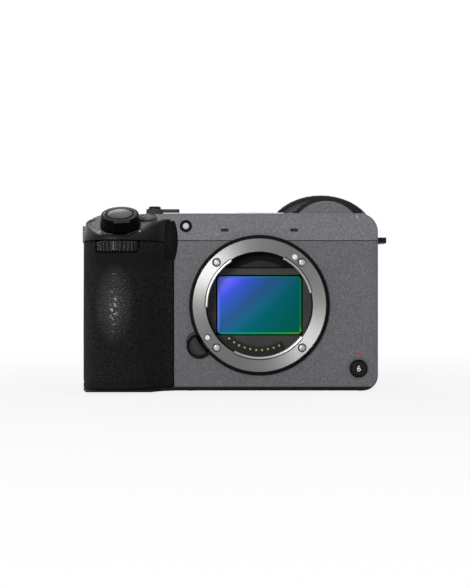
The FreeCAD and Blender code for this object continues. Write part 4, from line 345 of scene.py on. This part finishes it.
def sensor_painted_reflection():
    """The coating's colours as a painted reflection, from blue to green across the picture area, with brighter rims
    that are painted highlights.
    """
    look = Look("sensor_painted_reflection", Metallic=1.0, Roughness=0.2)
    place = look.moved((0, 0, AXIS_HEIGHT))
    across = look.part("X", place)
    height = look.part("Z", place)
    slant = look.calc(look.calc(across, 0.65, "MULTIPLY"), look.calc(height, -0.75, "MULTIPLY"))
    body = look.ramp(look.span(slant, -19, 15), (0.0, (0.20, 0.21, 1.0)), (0.12, (0.105, 0.125, 0.95)),
                     (0.18, (0.058, 0.105, 0.80)), (0.25, (0.042, 0.112, 0.62)), (0.353, (0.034, 0.118, 0.44)),
                     (0.432, (0.030, 0.118, 0.32)), (0.58, (0.012, 0.163, 0.30)), (0.68, (0.003, 0.16, 0.20)),
                     (1.0, (0.001, 0.15, 0.12)))
    # The brighter rims are painted highlights along the glass's edges.
    rim = look.outside(across, height, 17.65, 12.0, 0.08)
    low_rim = look.ramp(look.span(across, -18, 18), (0.0, (0.015, 0.27, 0.32)), (0.45, (0.006, 0.40, 0.17)),
                        (0.8, (0.02, 0.42, 0.08)), (1.0, (0.13, 0.42, 0.04)))
    high_rim = look.ramp(look.span(across, -18, 18), (0.0, (0.10, 0.20, 0.80)), (0.35, (0.035, 0.20, 0.50)),
                         (0.7, (0.01, 0.22, 0.16)), (1.0, (0.006, 0.25, 0.09)))
    rims = look.mix(look.span(height, -12.0, -9.0), low_rim, high_rim)
    look.into("Base Color", look.mix(rim, body, rims))
    return look.material


def dark_glass(name, tone, border=None):
    """Coated glass. A border gives the picture area's middle and half sizes."""
    look = Look(name, Coat_Weight=1.0, Coat_Roughness=0.03)
    smear = look.noise(14, 4.0, 0.6)
    shown = look.mix(smear, tone, tuple(c * 1.5 + 0.002 for c in tone))
    if border:
        middle, wide, tall = border
        place = look.moved((middle[0], 0, middle[1]))
        margin = look.outside(look.part("X", place), look.part("Z", place), wide, tall, 0.05)
        shown = look.mix(margin, (0.014, 0.014, 0.017), shown)
    look.into("Base Color", shown)
    look.into("Roughness", look.span(smear, 0.3, 0.7, 0.06, 0.14))
    return look.material


def soft_rubber():
    look = Look("soft_rubber", Specular_IOR_Level=0.2)
    tone = 0.008
    grit = look.noise(0.35, 3.0, 0.65)
    look.into("Base Color", look.ramp(look.noise(6.0, 3.0), (0.3, (tone, tone, tone)), (0.75, (tone * 1.5,) * 3)))
    look.into("Roughness", look.span(grit, 0.3, 0.7, 0.6, 0.78))
    look.bump(grit, 0.03, 0.5)
    return look.material


def circuit_green():
    """Boards with their tracks."""
    look = Look("circuit_green", Roughness=0.45)
    tracks = look.cells(1.6, "DISTANCE_TO_EDGE", 0.2)
    green = look.mix(look.span(tracks, 0.04, 0.10), (0.05, 0.20, 0.08), (0.008, 0.06, 0.03))
    # The sockets and the card reader, at the body's two ends, have black housings
    housing = look.span(look.calc(look.part("X"), 0, "ABSOLUTE"), 37.5, 38.5)
    look.into("Base Color", look.mix(housing, green, (0.007, 0.007, 0.008)))
    return look.material


def printed(name, colour, rough=0.5):
    """Plain ink or a small lens."""
    look = Look(name)
    look.into("Base Color", look.mix(look.noise(0.6, 2.0), tuple(c * 0.9 for c in colour), colour))
    look.into("Roughness", look.span(look.noise(0.3), 0.3, 0.7, rough - 0.05, rough + 0.05))
    return look.material


GREY = grey_paint()
# A paler copy of the grey paint for the top cover and the viewfinder's cap: painted light.
GREY_PAINT_PAINTED_LIGHTER = grey_paint("grey_paint_top_painted_lighter", 1.33)
REAR_GREY = grey_paint("grey_paint_rear", pad=True)
BLACK = black_plastic()
SATIN = black_plastic("satin_black", tone=0.0035, rough=0.26, grain=0.5, depth=0.006, level=0.28)
MATT = black_plastic("matt_black", tone=0.0035, rough=0.6, grain=0.3, level=0.1)
GATE = black_plastic("gate_black", tone=0.058, rough=0.62, grain=0.35, depth=0.01)
BAND = band_black()
LEVER = black_plastic("lever_black", tone=0.0012, rough=0.4, grain=0.3, depth=0.01, level=0.05, lip=0.25)
DOME = shutter_dome()
LEATHER = grip_leather()
STEEL = turned_steel()
PLAIN_STEEL = plain_metal("plain_steel", (0.52, 0.52, 0.53), 0.32)
ALLOY = plain_metal("machined_alloy", (0.62, 0.62, 0.64), 0.38)
GOLD = plain_metal("gold_plate", (0.44, 0.35, 0.15), 0.3)
SENSOR = sensor_painted_reflection()
SCREEN = dark_glass("screen_glass", (0.003, 0.003, 0.004), ((6.75, 27.45), 30.5, 17.2))
LENS = dark_glass("eyepiece_glass", (0.010, 0.008, 0.022))
RUBBER = soft_rubber()
BOARD = circuit_green()
WHITE = printed("white_print", (0.93, 0.93, 0.91))
RED = printed("red_print", (0.50, 0.035, 0.02))
# A paler copy of the turned steel: a painted highlight on the bayonet tabs' faces.
STEEL_PAINTED_HIGHLIGHT = turned_steel("bayonet_painted_highlight", 0.62)
SHADE = black_plastic("shaded_black", tone=0.020, rough=0.6, grain=0.35, depth=0.01)
DARK_GREY = black_plastic("dark_grey", tone=0.026, rough=0.5, grain=0.35, depth=0.01, level=0.25)
PALE_LENS = printed("pale_lens", (0.62, 0.62, 0.62), 0.35)

NODE_LOOKS = {
    "front_cover": GREY, "top_cover": GREY_PAINT_PAINTED_LIGHTER, "rear_cover": REAR_GREY, "viewfinder_cap": GREY_PAINT_PAINTED_LIGHTER,
    "base_plate": BLACK,
    "grip_frame": MATT, "grip_skin": LEATHER, "grip_band": BAND, "mount_base_ring": MATT,
    "mount_flange_ring": STEEL, "lens_release_button": SATIN, "lens_lock_pin": PLAIN_STEEL,
    "contact_block": SHADE, "contact_pins": GOLD, "chassis_frame": MATT, "shutter_frame": GATE,
    "shutter_blade_1": BLACK, "shutter_blade_2": BLACK, "sensor_glass": SENSOR, "sensor_carriage": MATT,
    "stabiliser_slide": ALLOY, "stabiliser_base": ALLOY, "heat_sink": ALLOY, "fan_housing": BLACK,
    "fan_rotor": BLACK, "battery": BLACK, "circuit_boards": BOARD, "card_door": BLACK,
    "port_door_upper": BLACK, "port_door_lower": BLACK, "battery_door": BLACK, "battery_latch": SATIN,
    "zoom_lever": LEVER, "shutter_button": DOME, "deck_button": GREY, "power_lever": GATE,
    "mode_button": BLACK, "top_button": BLACK, "front_dial": SATIN, "rear_dial": LEVER,
    "record_button": SATIN, "front_lamp": MATT, "control_wheel": BLACK, "centre_button": SATIN,
    "focus_button": SATIN, "menu_button": SATIN, "playback_button": SATIN, "joystick": RUBBER,
    "joystick_gimbal": ALLOY, "accessory_shoe": PLAIN_STEEL, "strap_lugs": SATIN,
    "viewfinder_housing": BLACK, "viewfinder_eyepiece": LENS, "viewfinder_eyecup": RUBBER,
    "diopter_dial": BLACK, "monitor_frame": BLACK, "monitor_glass": SCREEN, "monitor_hinge": BLACK,
    "monitor_bracket": SATIN, "screws": PLAIN_STEEL,
}
for node_name, node_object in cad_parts.items():
    node_object.data.materials.clear()
    node_object.data.materials.append(NODE_LOOKS[node_name])


# Soft pieces, in the space of their solids

def points_of(mesh):
    """A mesh's points and normals, in millimetres and as rows."""
    where = np.empty(len(mesh.vertices) * 3)
    way = np.empty(len(mesh.vertices) * 3)
    mesh.vertices.foreach_get("co", where)
    mesh.vertices.foreach_get("normal", way)
    return where.reshape(-1, 3) / MM, way.reshape(-1, 3)


def even_copy(name, node, voxel):
    """A new object with a node's form in even faces of a width in millimetres."""
    source = bpy.data.objects.new("source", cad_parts[node].data.copy())
    bpy.context.scene.collection.objects.link(source)
    source.modifiers.new("even", "REMESH").mode = "VOXEL"
    source.modifiers["even"].voxel_size = voxel * MM
    source.modifiers["even"].use_smooth_shade = True
    mesh = bpy.data.meshes.new_from_object(source.evaluated_get(bpy.context.evaluated_depsgraph_get()))
    bpy.data.objects.remove(source)
    mesh.name = name
    thing = bpy.data.objects.new(name, mesh)
    bpy.context.scene.collection.objects.link(thing)
    return thing


def sink(mesh, depth):
    """Moves each point inward by a depth in millimetres."""
    where, way = points_of(mesh)
    mesh.vertices.foreach_set("co", ((where - way * depth[:, None]) * MM).ravel())
    mesh.update()


def smooth_step(value, low, high):
    share = np.clip((value - low) / (high - low), 0, 1)
    return share * share * (3 - 2 * share)


def soft_noise(where, size, seed):
    """Smooth noise from 0 to 1 whose hills are about size millimetres apart."""
    random = np.random.default_rng(seed)
    total = np.zeros(len(where))
    for _ in range(14):
        way = random.normal(size=3)
        way /= np.linalg.norm(way)
        pitch = size * random.uniform(0.8, 1.7)
        total += np.sin(where @ way * 2 * math.pi / pitch + random.uniform(0, 2 * math.pi))
    return np.clip(0.5 + total / 10.5, 0, 1)


def dress(thing, body, material, node=None):
    """Gives a piece its material and body, and hides the solid that it replaces."""
    thing.data.materials.clear()
    thing.data.materials.append(material)
    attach(thing, body)
    if node:
        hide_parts(node)


def add_piece(name, points, faces, material, body, smooth=35):
    """A new mesh piece from points in millimetres, riding a body."""
    mesh = bpy.data.meshes.new(name)
    mesh.from_pydata([[c * MM for c in point] for point in points], [], faces)
    work = bmesh.new()
    work.from_mesh(mesh)
    bmesh.ops.remove_doubles(work, verts=work.verts, dist=1e-7)
    bmesh.ops.recalc_face_normals(work, faces=work.faces)
    work.to_mesh(mesh)
    work.free()
    for face in mesh.polygons:
        face.use_smooth = True
    mesh.set_sharp_from_angle(angle=math.radians(smooth))
    thing = bpy.data.objects.new(name, mesh)
    bpy.context.scene.collection.objects.link(thing)
    dress(thing, body, material)


def turn_to(axis):
    """The turn that carries a piece's own upward axis onto a direction."""
    return Vector(axis).to_track_quat("Z", "Y").to_matrix()


def turned(name, profile, where, axis, material, body, steps=48, change=None, smooth=35):
    """A lathe piece from radius and height pairs. change may move a point of the finished form."""
    turn = turn_to(axis)
    points = []
    for radius, height in profile:
        for index in range(steps):
            angle = 2 * math.pi * index / steps
            point = [radius * math.cos(angle), radius * math.sin(angle), height]
            points.append(tuple(Vector(where) + turn @ Vector(change(*point) if change else point)))
    faces = []
    for ring in range(len(profile) - 1):
        for index in range(steps):
            after = (index + 1) % steps
            quad = [ring * steps + index, ring * steps + after, (ring + 1) * steps + after,
                    (ring + 1) * steps + index]
            if profile[ring][0] == 0:
                quad = [quad[0], quad[2], quad[3]]
            elif profile[ring + 1][0] == 0:
                quad = quad[:3]
            faces.append(quad)
    add_piece(name, points, faces, material, body, smooth)


def band_on_front(name, section, spans, material, body, steps=40):
    """Arcs round the lens axis: a closed section of radius and distance ahead, over spans of degrees."""
    points, faces = [], []
    for low, high in spans:
        start = len(points)
        for index in range(steps + 1):
            angle = math.radians(low + (high - low) * index / steps)
            for radius, ahead in section:
                points.append((radius * math.cos(angle), -ahead, AXIS_HEIGHT + radius * math.sin(angle)))
        count = len(section)
        for index in range(steps):
            for side in range(count):
                after = (side + 1) % count
                faces.append([start + index * count + side, start + index * count + after,
                              start + (index + 1) * count + after, start + (index + 1) * count + side])
        faces.append([start + side for side in range(count)])
        faces.append([start + steps * count + side for side in reversed(range(count))])
    add_piece(name, points, faces, material, body)


def slab(name, outline, ahead, thick, material, body, chamfer=0.0, way=-1):
    """A plate from an outline of X and Z. Its face is ahead of the tripod axis, or behind it where way is 1."""
    count = len(outline)
    middle = [sum(p[0] for p in outline) / count, sum(p[1] for p in outline) / count]
    rings = [(0, thick), (0, chamfer), (chamfer, 0)] if chamfer else [(0, thick), (0, 0)]
    points = []
    for inset, back in rings:
        for x, z in outline:
            away = Vector((x - middle[0], z - middle[1]))
            away = away * (1 - inset / max(away.length, 0.01))
            points.append((middle[0] + away.x, way * (ahead - back), middle[1] + away.y))
    faces = [list(range(count)), list(range((len(rings) - 1) * count, len(rings) * count))]
    for ring in range(len(rings) - 1):
        for index in range(count):
            after = (index + 1) % count
            faces.append([ring * count + index, ring * count + after, (ring + 1) * count + after,
                          (ring + 1) * count + index])
    add_piece(name, points, faces, material, body)


def even_path(path, steps):
    """A smooth curve through the points of a path, with a number of steps between each two."""
    spots = [Vector(point) for point in path]
    spots = [spots[0] * 2 - spots[1]] + spots + [spots[-1] * 2 - spots[-2]]
    line = []
    for index in range(1, len(spots) - 2):
        before, here, there, after = spots[index - 1:index + 3]
        for step in range(steps):
            t = step / steps
            line.append(tuple(0.5 * (2 * here + (there - before) * t
                                     + (2 * before - 5 * here + 4 * there - after) * t ** 2
                                     + (3 * here - before - 3 * there + after) * t ** 3)))
    return line + [tuple(spots[-2])]


def wire(name, path, radius, material, body):
    """A round bead along a path of points in millimetres."""
    curve = bpy.data.curves.new(name, "CURVE")
    curve.dimensions = "3D"
    curve.bevel_depth = radius * MM
    curve.bevel_resolution = 3
    curve.use_fill_caps = True
    line = curve.splines.new("POLY")
    line.points.add(len(path) - 1)
    for spot, point in zip(line.points, path):
        spot.co = (*[c * MM for c in point], 1)
    holder = bpy.data.objects.new(name + "_path", curve)
    bpy.context.scene.collection.objects.link(holder)
    mesh = bpy.data.meshes.new_from_object(holder.evaluated_get(bpy.context.evaluated_depsgraph_get()))
    bpy.data.objects.remove(holder)
    for face in mesh.polygons:
        face.use_smooth = True
    thing = bpy.data.objects.new(name, mesh)
    bpy.context.scene.collection.objects.link(thing)
    dress(thing, body, material)


def figure(name, text, size, where, axis, material, body):
    """A number on a surface."""
    curve = bpy.data.curves.new(name, "FONT")
    curve.body = text
    curve.size = size * MM
    curve.align_x = "CENTER"
    curve.align_y = "CENTER"
    curve.extrude = 0.02 * MM
    thing = bpy.data.objects.new(name, curve)
    bpy.context.scene.collection.objects.link(thing)
    thing.matrix_world = Matrix.Translation([c * MM for c in where]) @ turn_to(axis).to_4x4()
    curve.materials.append(material)
    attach(thing, body)


def grip_cover():
    """The grip's leathered rubber, with the crease beside the finger swell and the seam at its foot."""
    thing = even_copy("grip_leather", "grip_skin", 0.42)
    where, way = points_of(thing.data)
    across, back, height = where.T
    front = smooth_step(-way[:, 1], 0.15, 0.5)
    crease_line = -49.05 + 0.0036 * np.minimum(height - 28, 0) ** 2 + 2.9 * smooth_step(height, 36, 52)
    crease = (np.exp(-((across - crease_line) / 0.4) ** 2) * smooth_step(height, 5, 14)
              * (1 - smooth_step(height, 44, 58)))
    dip = (np.exp(-((across - crease_line - 1.5) / 3.2) ** 2) * smooth_step(height, 6, 20)
           * (1 - smooth_step(height, 46, 60)))
    brow = smooth_step(height, 47, 55) * smooth_step(across, -74, -66)
    swell = np.exp(-((across - FINGER_SWELL_X) / 8.0) ** 2 - ((height - 35) / 17.0) ** 2)
    waves = (soft_noise(where, 3.4, 5) * 0.04 + soft_noise(where, 1.7, 6) * 0.02) * (0.3 + 0.7 * swell)
    scoop = (np.exp(-((height - 49.3) / 5.0) ** 2) * smooth_step(across, -76, -70)
             * (1 - smooth_step(across, -57, -45)))
    seam = np.exp(-((height - 4.3) / 0.4) ** 2)
    carved = 0.3 * crease + 0.22 * dip + 0.8 * scoop + 0.25 * (1 - swell) * (1 - 0.6 * brow)
    sink(thing.data, front * carved + waves + 0.25 * seam)
    dress(thing, "root", LEATHER, "grip_skin")


def eyecup():
    """A rubber cup with a bead round its lip and folds near its seat."""
    thing = even_copy("eyecup_rubber", "viewfinder_eyecup", 0.5)
    where, way = points_of(thing.data)
    back = where[:, 1]
    outward = where[:, (0, 2)] - np.array([EYEPIECE_X, EYEPIECE_Z])
    outward /= np.linalg.norm(outward, axis=1)[:, None]
    outer = smooth_step((way[:, (0, 2)] * outward).sum(axis=1), 0.1, 0.6)
    bead = smooth_step(back, 54.2, 55.6)
    folds = 0.5 + 0.5 * np.cos((back - 39.5) * 2 * math.pi / 2.4)
    folds *= 1 - smooth_step(back, 45.5, 47)
    waist = smooth_step(back, 46, 50) * (1 - bead)
    sink(thing.data, outer * (0.5 * (1 - bead) + 0.35 * folds + 0.15 * waist) + soft_noise(where, 5, 9) * 0.05)
    dress(thing, "viewfinder", RUBBER, "viewfinder_eyecup")


grip_cover()
eyecup()


# Front of the body

def mount_details():
    """Screw heads with rings of painted shade round them, index dot, tab edges with a painted highlight and a band
    of painted shadow beside them, and the baffles round the sensor.
    """
    def cross(x, y, z):
        """Sinks the cross of a screw head."""
        arm = (abs(x) < 0.2 and abs(y) < 0.85) or (abs(y) < 0.2 and abs(x) < 0.85)
        return [x, y, z - 0.3] if arm else [x, y, z]

    head = [(0, 0.30), (0.12, 0.30), (0.2, 0.30), (0.32, 0.30), (0.5, 0.29), (0.7, 0.28), (0.85, 0.26), (0.95, 0.24),
            (1.15, 0.19), (1.35, 0.10), (1.45, 0.0)]
    # A dark ring round each screw head is painted shade in its recess.
    seat = [(1.44, 0.0), (1.5, 0.03), (1.7, 0.05), (1.85, 0.135)]
    reach = 18.35
    for index, (x, z) in enumerate(((-reach, reach), (reach, reach), (-reach, -reach), (reach, -reach))):
        spot = (x, -27.87, AXIS_HEIGHT + z)
        turned(f"mount_screw_head_{index}", head, spot, FORWARD, ALLOY, "root", 64, cross, 25)
        turned(f"mount_screw_shade_ring_{index}", seat, spot, FORWARD, DARK_GREY, "root")
    dot_angle, dot_reach = math.radians(53.7), 25.7
    turned("index_dot", [(0, 0.14), (0.6, 0.13), (0.95, 0.09), (1.12, 0.0)],
           (dot_reach * math.cos(dot_angle), -FLANGE, AXIS_HEIGHT + dot_reach * math.sin(dot_angle)),
           FORWARD, WHITE, "root", 32)
    tabs = ((122, 182), (13.7, 62.9), (242, 323))
    # The tabs' faces are drawn in the paler steel as a painted highlight.
    band_on_front("bayonet_edge", [(22.25, 27.95), (22.45, 28.12), (23.05, 28.12), (23.15, 27.95)], tabs,
                  STEEL_PAINTED_HIGHLIGHT, "root")
    # A black band just beyond the tabs is painted shadow.
    band_on_front("bayonet_shadow_line", [(23.2, 27.98), (23.2, 28.03), (23.55, 28.03), (23.55, 27.98)], tabs,
                  MATT, "root")
    foot, half, rise = 54.0, 9.6, 3.1
    arch = [(-19.0, foot), (-half, foot)]
    arch += [(-half + 2 * half * t / 16, foot + rise * math.sin(math.pi * t / 16)) for t in range(1, 16)]
    arch += [(half, foot), (19.0, foot), (16.5, 57.4), (12.6, 60.0), (7.0, 61.9), (0, 62.6), (-7.0, 61.9),
             (-12.6, 60.0), (-16.5, 57.4)]
    slab("arch_baffle", arch, 19.4, 0.8, MATT, "root")
    slab("arch_shade", [(-21, 53.6), (21, 53.6), (21, 64.5), (-21, 64.5)], 16.95, 0.3, SHADE, "root")
    # A black strip along the top of the gate, under the arch baffle.
    slab("gate_dark_strip", [(-21, 53.2), (21, 53.2), (21, 53.75), (-21, 53.75)], 17.3, 0.4, MATT, "root")


def release_rim():
    """The ridge round the lens release button, with a grey wire along it as a painted highlight, and the button's
    own face inside it.
    """
    ridge = ((-27.0, 25.3), (-27.84, 24.9), (-29.38, 24.02), (-30.3, 23.1), (-30.76, 21.9), (-30.82, 20.5),
             (-30.3, 18.72), (-29.49, 17.39), (-28.39, 16.18), (-27.07, 15.25), (-25.74, 14.88), (-24.6, 15.08),
             (-23.53, 15.7), (-22.4, 16.5))
    middle_x, middle_z = -26.4, 20.4
    # The grey wire along the middle of the ridge is a painted highlight on its black.
    for name, out, ahead, thick, material in (
            ("release_ridge", 0.0, 24.9, 0.27, GREY), ("release_ridge_edge", 0.42, 24.55, 0.30, MATT),
            ("release_gap", -0.6, 24.65, 0.34, MATT)):
        path = []
        for x, z in ridge:
            away = Vector((x - middle_x, z - middle_z)).normalized() * out
            path.append((x + away.x, -ahead, z + away.y))
        wire(name, even_path(path, 5), thick, material, "root")
    face = [(-28.1, 22.7), (-28.5, 22.45), (-28.95, 22.05), (-29.45, 21.2), (-29.44, 20.04), (-28.83, 18.5),
            (-28.06, 17.39), (-27.18, 16.51), (-26.29, 15.96), (-25.41, 15.74), (-24.7, 15.85), (-24.15, 16.35)]
    # Its inner side runs round the mount
    clear = 31.75
    for angle in map(math.radians, (37, 33.5, 30)):
        face.append((-clear * math.cos(angle), AXIS_HEIGHT - clear * math.sin(angle)))
    slab("release_face", face, 26.82, 0.2, DARK_GREY, "lens_release", 0.06)


def deck_details():
    """The rings that the deck's buttons sit in, and the marks beside the zoom lever."""
    turned("deck_button_ring",
           [(2.72, 0.3), (2.74, 0.62), (2.9, 0.66), (3.3, 0.58), (3.5, 0.8), (3.72, 0.78), (3.85, 0.3)],
           deck_spot(11.0, 8.4, 0.0), DECK_UP, SATIN, "root")
    turned("shutter_ring", [(6.15, 5.62), (6.2, 5.86), (6.45, 5.98), (6.8, 5.95), (7.1, 5.80)],
           deck_spot(0, 0, 0), DECK_UP, SATIN, "zoom", 64)
    turned("shutter_gap", [(5.3, 6.0), (5.34, 6.16), (5.6, 6.12), (6.15, 5.99), (6.28, 5.82)],
           deck_spot(0, 0, 0), DECK_UP, MATT, "zoom", 64)
    for index, (across, along) in enumerate(((-8.2, -5.4), (8.6, -4.6))):
        turned(f"zoom_mark_{index}", [(0, 0.10), (0.3, 0.08), (0.42, 0.0)], deck_spot(across, along, 0.0), DECK_UP,
               WHITE, "root", 16)


def grip_flare():
    """The grip's inner edge, swelling over the front cover beside the band."""
    points, faces = [], []
    levels = 22
    for step in range(levels + 1):
        share = step / levels
        height = 56.2 + share * 17.2
        reach = math.sin(math.pi * share) ** 0.8
        lean = 0.3 * (share - 0.5)
        swell = float(np.interp(height, (60, 63, 66, 69, 72, 74), (1.84, 1.75, 1.62, 1.40, 1.11, 0.9)))
        # X, and how far it stands ahead of the front cover
        section = [(-41.0, 0.06), (-41.0, swell - 0.04), (-40.0, 0.63 * swell + 0.2 * reach),
                   (-39.0, 0.36 * swell + 0.6 * reach), (-38.0, 0.145 * swell + 0.95 * reach),
                   (-36.9 + (0.9 + lean) * reach, 0.12 + 0.75 * reach), (-36.7 + (1.45 + lean) * reach, 0.06)]
        count = len(section)
        points += [(x, -FRONT_FACE - ahead, height) for x, ahead in section]
        if step:
            for side in range(count):
                after = (side + 1) % count
                faces.append([(step - 1) * count + side, (step - 1) * count + after, step * count + after,
                              step * count + side])
    faces.append(list(range(count)))
    faces.append([levels * count + side for side in range(count)])
    add_piece("grip_flare", points, faces, MATT, "root", 60)


def oblong(x, z, wide, tall, steps=6):
    """The outline of a slot with round ends, or a rectangle where steps is 0."""
    wide, tall = wide / 2, tall / 2
    if not steps:
        return [(x - wide, z - tall), (x + wide, z - tall), (x + wide, z + tall), (x - wide, z + tall)]
    outline = []
    for side in (1, -1):
        for step in range(steps + 1):
            angle = math.pi * (step / steps - 0.5)
            outline.append((x + side * (wide - tall + tall * math.cos(angle)), z + side * tall * math.sin(angle)))
    return outline


def front_marks():
    """The lamp's window, mesh in the microphone slots, a small pale stroke on the cover, and the record button's
    number and dot.
    """
    turned("lamp_window", [(0, 0.30), (0.7, 0.27), (1.15, 0.16), (1.35, 0.0)], (-31.8, -24.75, 71.2), FORWARD,
           PALE_LENS, "root", 32)
    figure("record_figure", "6", 3.6, (RECORD_X, -24.93, 9.5), FORWARD, WHITE, "record_key")
    for index, x in enumerate((-15.0, 15.0)):
        slab(f"mic_mesh_{index}", oblong(x, 69.5, 3.55, 1.45), 23.9, 0.5, SHADE, "root")
    slab("cover_pale_stroke", oblong(42.2, 75.2, 0.35, 1.3, 0), FRONT_FACE + 0.06, 0.3, PALE_LENS, "root")
    turned("record_dot", [(0, 0.08), (0.6, 0.08), (0.8, 0.0)], (RECORD_X, -FRONT_FACE, 16.5), FORWARD,
           RED, "root", 24)


mount_details()
release_rim()
deck_details()
grip_flare()
front_marks()


# Back and sides

def rear_marks():
    """The control ring's knurl and dots, the buttons' signs and the eyepiece's rim."""
    def knurl(x, y, z):
        """Forty teeth round the ring."""
        return [x, y, z * (0.55 + 0.45 * math.cos(40 * math.atan2(y, x)))]

    turned("ring_knurl", [(8.6, 0.0), (8.75, 0.3), (9.4, 0.42), (10.1, 0.3), (10.45, 0.0)], (RING_X, 21.25, RING_Z),
           BACKWARD, LEVER, "rear_ring", 160, knurl, 60)
    dot_reach = 7.0
    for index in range(4):
        angle = index * math.pi / 2
        turned(f"ring_dot_{index}", [(0, 0.06), (0.3, 0.06), (0.4, 0.0)],
               (RING_X + dot_reach * math.cos(angle), 21.28, RING_Z + dot_reach * math.sin(angle)), BACKWARD,
               WHITE, "rear_ring", 16)
    turned("centre_rim", [(3.3, 0.0), (3.4, 0.14), (3.75, 0.16), (4.0, 0.0)], (RING_X, 21.38, RING_Z), BACKWARD,
           LEVER, "centre_key")
    slab("playback_sign", [(-39.4, 11.5), (-37.7, 12.5), (-37.7, 10.5)], KEY_FACE, 0.1, WHITE, "playback_key",
         way=1)
    for index in range(3):
        slab(f"menu_sign_{index}", oblong(-36.5, 59.6 + 0.9 * index, 2.6, 0.32, 0), KEY_FACE, 0.1, WHITE, "menu_key",
             way=1)
    turned("focus_sign", [(1.25, 0.0), (1.3, 0.05), (1.55, 0.05), (1.6, 0.0)], (-49.0, 21.08, 60.5), BACKWARD,
           WHITE, "focus_key", 32)
    turned("eyepiece_rim", [(8.0, 0.0), (8.05, 0.25), (8.6, 0.35), (9.3, 0.2), (9.5, -0.4)],
           (EYEPIECE_X, 37.6, EYEPIECE_Z), BACKWARD, SATIN, "viewfinder", 64)


def door_lips():
    """The small lips that a fingernail opens the side doors by."""
    for name, body, side, depth, height in (("port_lip_upper", "port_lid_upper", 51.35, 5.4, 44.0),
                                            ("port_lip_lower", "port_lid_lower", 51.35, 5.4, 20.5),
                                            ("card_lip", "card_lid", -77.35, 13.6, 33.0)):
        path = [(side, depth - 0.9 * math.sin(math.pi * t / 10), height - 3 + 0.6 * t) for t in range(11)]
        wire(name, path, 0.28, SATIN, body)


rear_marks()
door_lips()


# Light, floor and camera

WORLD_LIGHT = 0.36


def studio():
    """A plain room that is white to the camera and through glass."""
    world = bpy.data.worlds.new("studio")
    bpy.context.scene.world = world
    world.use_nodes = True
    tree = world.node_tree
    tree.nodes.clear()

    def light(strength):
        node = tree.nodes.new("ShaderNodeBackground")
        node.inputs["Color"].default_value = (1, 1, 1, 1)
        node.inputs["Strength"].default_value = strength
        return node.outputs[0]

    def calc(operation, first, second):
        node = tree.nodes.new("ShaderNodeMath")
        node.operation = operation
        tree.links.new(first, node.inputs[0])
        tree.links.new(second, node.inputs[1])
        return node.outputs[0]

    path = tree.nodes.new("ShaderNodeLightPath")
    seen = calc("MAXIMUM", path.outputs["Is Camera Ray"], path.outputs["Is Transmission Ray"])
    # In a mirror, the room is white behind the camera body and dimmer on the side it faces
    way = tree.nodes.new("ShaderNodeTexCoord")
    split = tree.nodes.new("ShaderNodeSeparateXYZ")
    tree.links.new(way.outputs["Generated"], split.inputs[0])
    side = tree.nodes.new("ShaderNodeMapRange")
    for socket, value in (("From Min", 0.0), ("From Max", 0.9), ("To Min", 0.04), ("To Max", 1.0)):
        side.inputs[socket].default_value = value
    tree.links.new(split.outputs["Y"], side.inputs["Value"])
    mirrored = calc("MULTIPLY", path.outputs["Is Glossy Ray"], side.outputs["Result"])
    blend = tree.nodes.new("ShaderNodeMixShader")
    tree.links.new(calc("MAXIMUM", seen, mirrored), blend.inputs[0])
    tree.links.new(light(WORLD_LIGHT), blend.inputs[1])
    tree.links.new(light(1.0), blend.inputs[2])
    out = tree.nodes.new("ShaderNodeOutputWorld")
    tree.links.new(blend.outputs[0], out.inputs["Surface"])


def lamp(name, place, size, watts):
    """A soft lamp, its place and size in metres, turned toward the camera body."""
    data = bpy.data.lights.new(name, "AREA")
    data.shape = "RECTANGLE"
    data.size, data.size_y = size
    data.energy = watts
    thing = bpy.data.objects.new(name, data)
    bpy.context.scene.collection.objects.link(thing)
    thing.location = place
    thing.rotation_euler = (Vector((0, 0, 0.04)) - Vector(place)).to_track_quat("-Z", "Y").to_euler()


def floor():
    """White paper just under the feet. It takes the shadow, and glows to the camera more and more further out."""
    mesh = bpy.data.meshes.new("floor")
    half = 6.0
    low = CAD_BOX[0][2] - 0.02 * MM
    mesh.from_pydata([(-half, -half, low), (half, -half, low), (half, half, low), (-half, half, low)], [],
                     [(0, 1, 2, 3)])
    thing = bpy.data.objects.new("floor", mesh)
    bpy.context.scene.collection.objects.link(thing)
    look = Look("floor", Base_Color=(0.86, 0.86, 0.86, 1), Roughness=0.9, Specular_IOR_Level=0.0)
    glow = look.add("ShaderNodeEmission")
    blend = look.add("ShaderNodeMixShader")
    path = look.add("ShaderNodeLightPath")
    spot = look.add("ShaderNodeVectorMath", operation="LENGTH")
    look.link(look.moved(), spot.inputs[0])
    fade = look.span(spot.outputs["Value"], 120, 380, 0.84, 1.0)
    look.link(look.calc(path.outputs["Is Camera Ray"], fade, "MULTIPLY"), blend.inputs[0])
    out = next(n for n in look.tree.nodes if n.type == "OUTPUT_MATERIAL")
    look.link(look.shader.outputs[0], blend.inputs[1])
    look.link(glow.outputs[0], blend.inputs[2])
    look.link(blend.outputs[0], out.inputs["Surface"])
    mesh.materials.append(look.material)


studio()
floor()
lamp("key", (-0.26, -0.93, 0.225), (0.22, 0.22), 3.7)
lamp("fill", (0.75, -0.65, 0.25), (0.4, 0.6), 0.5)
lamp("top", (0.05, 0.1, 0.9), (0.8, 0.5), 1.4)
lamp("back", (-0.35, 0.85, 0.5), (0.5, 0.5), 2.2)

camera_data = bpy.data.cameras.new("camera")
camera_data.sensor_width = 36
camera_data.lens = 71.27
camera_data.shift_x = -0.0415
camera_data.shift_y = 0.019
camera_data.clip_start = 0.01
camera = bpy.data.objects.new("camera", camera_data)
bpy.context.scene.collection.objects.link(camera)
camera.location = (0, -0.528, AXIS_HEIGHT * MM)
camera.rotation_euler = (math.radians(90), 0, 0)
bpy.context.scene.camera = camera
bpy.context.scene.view_settings.view_transform = "Standard"
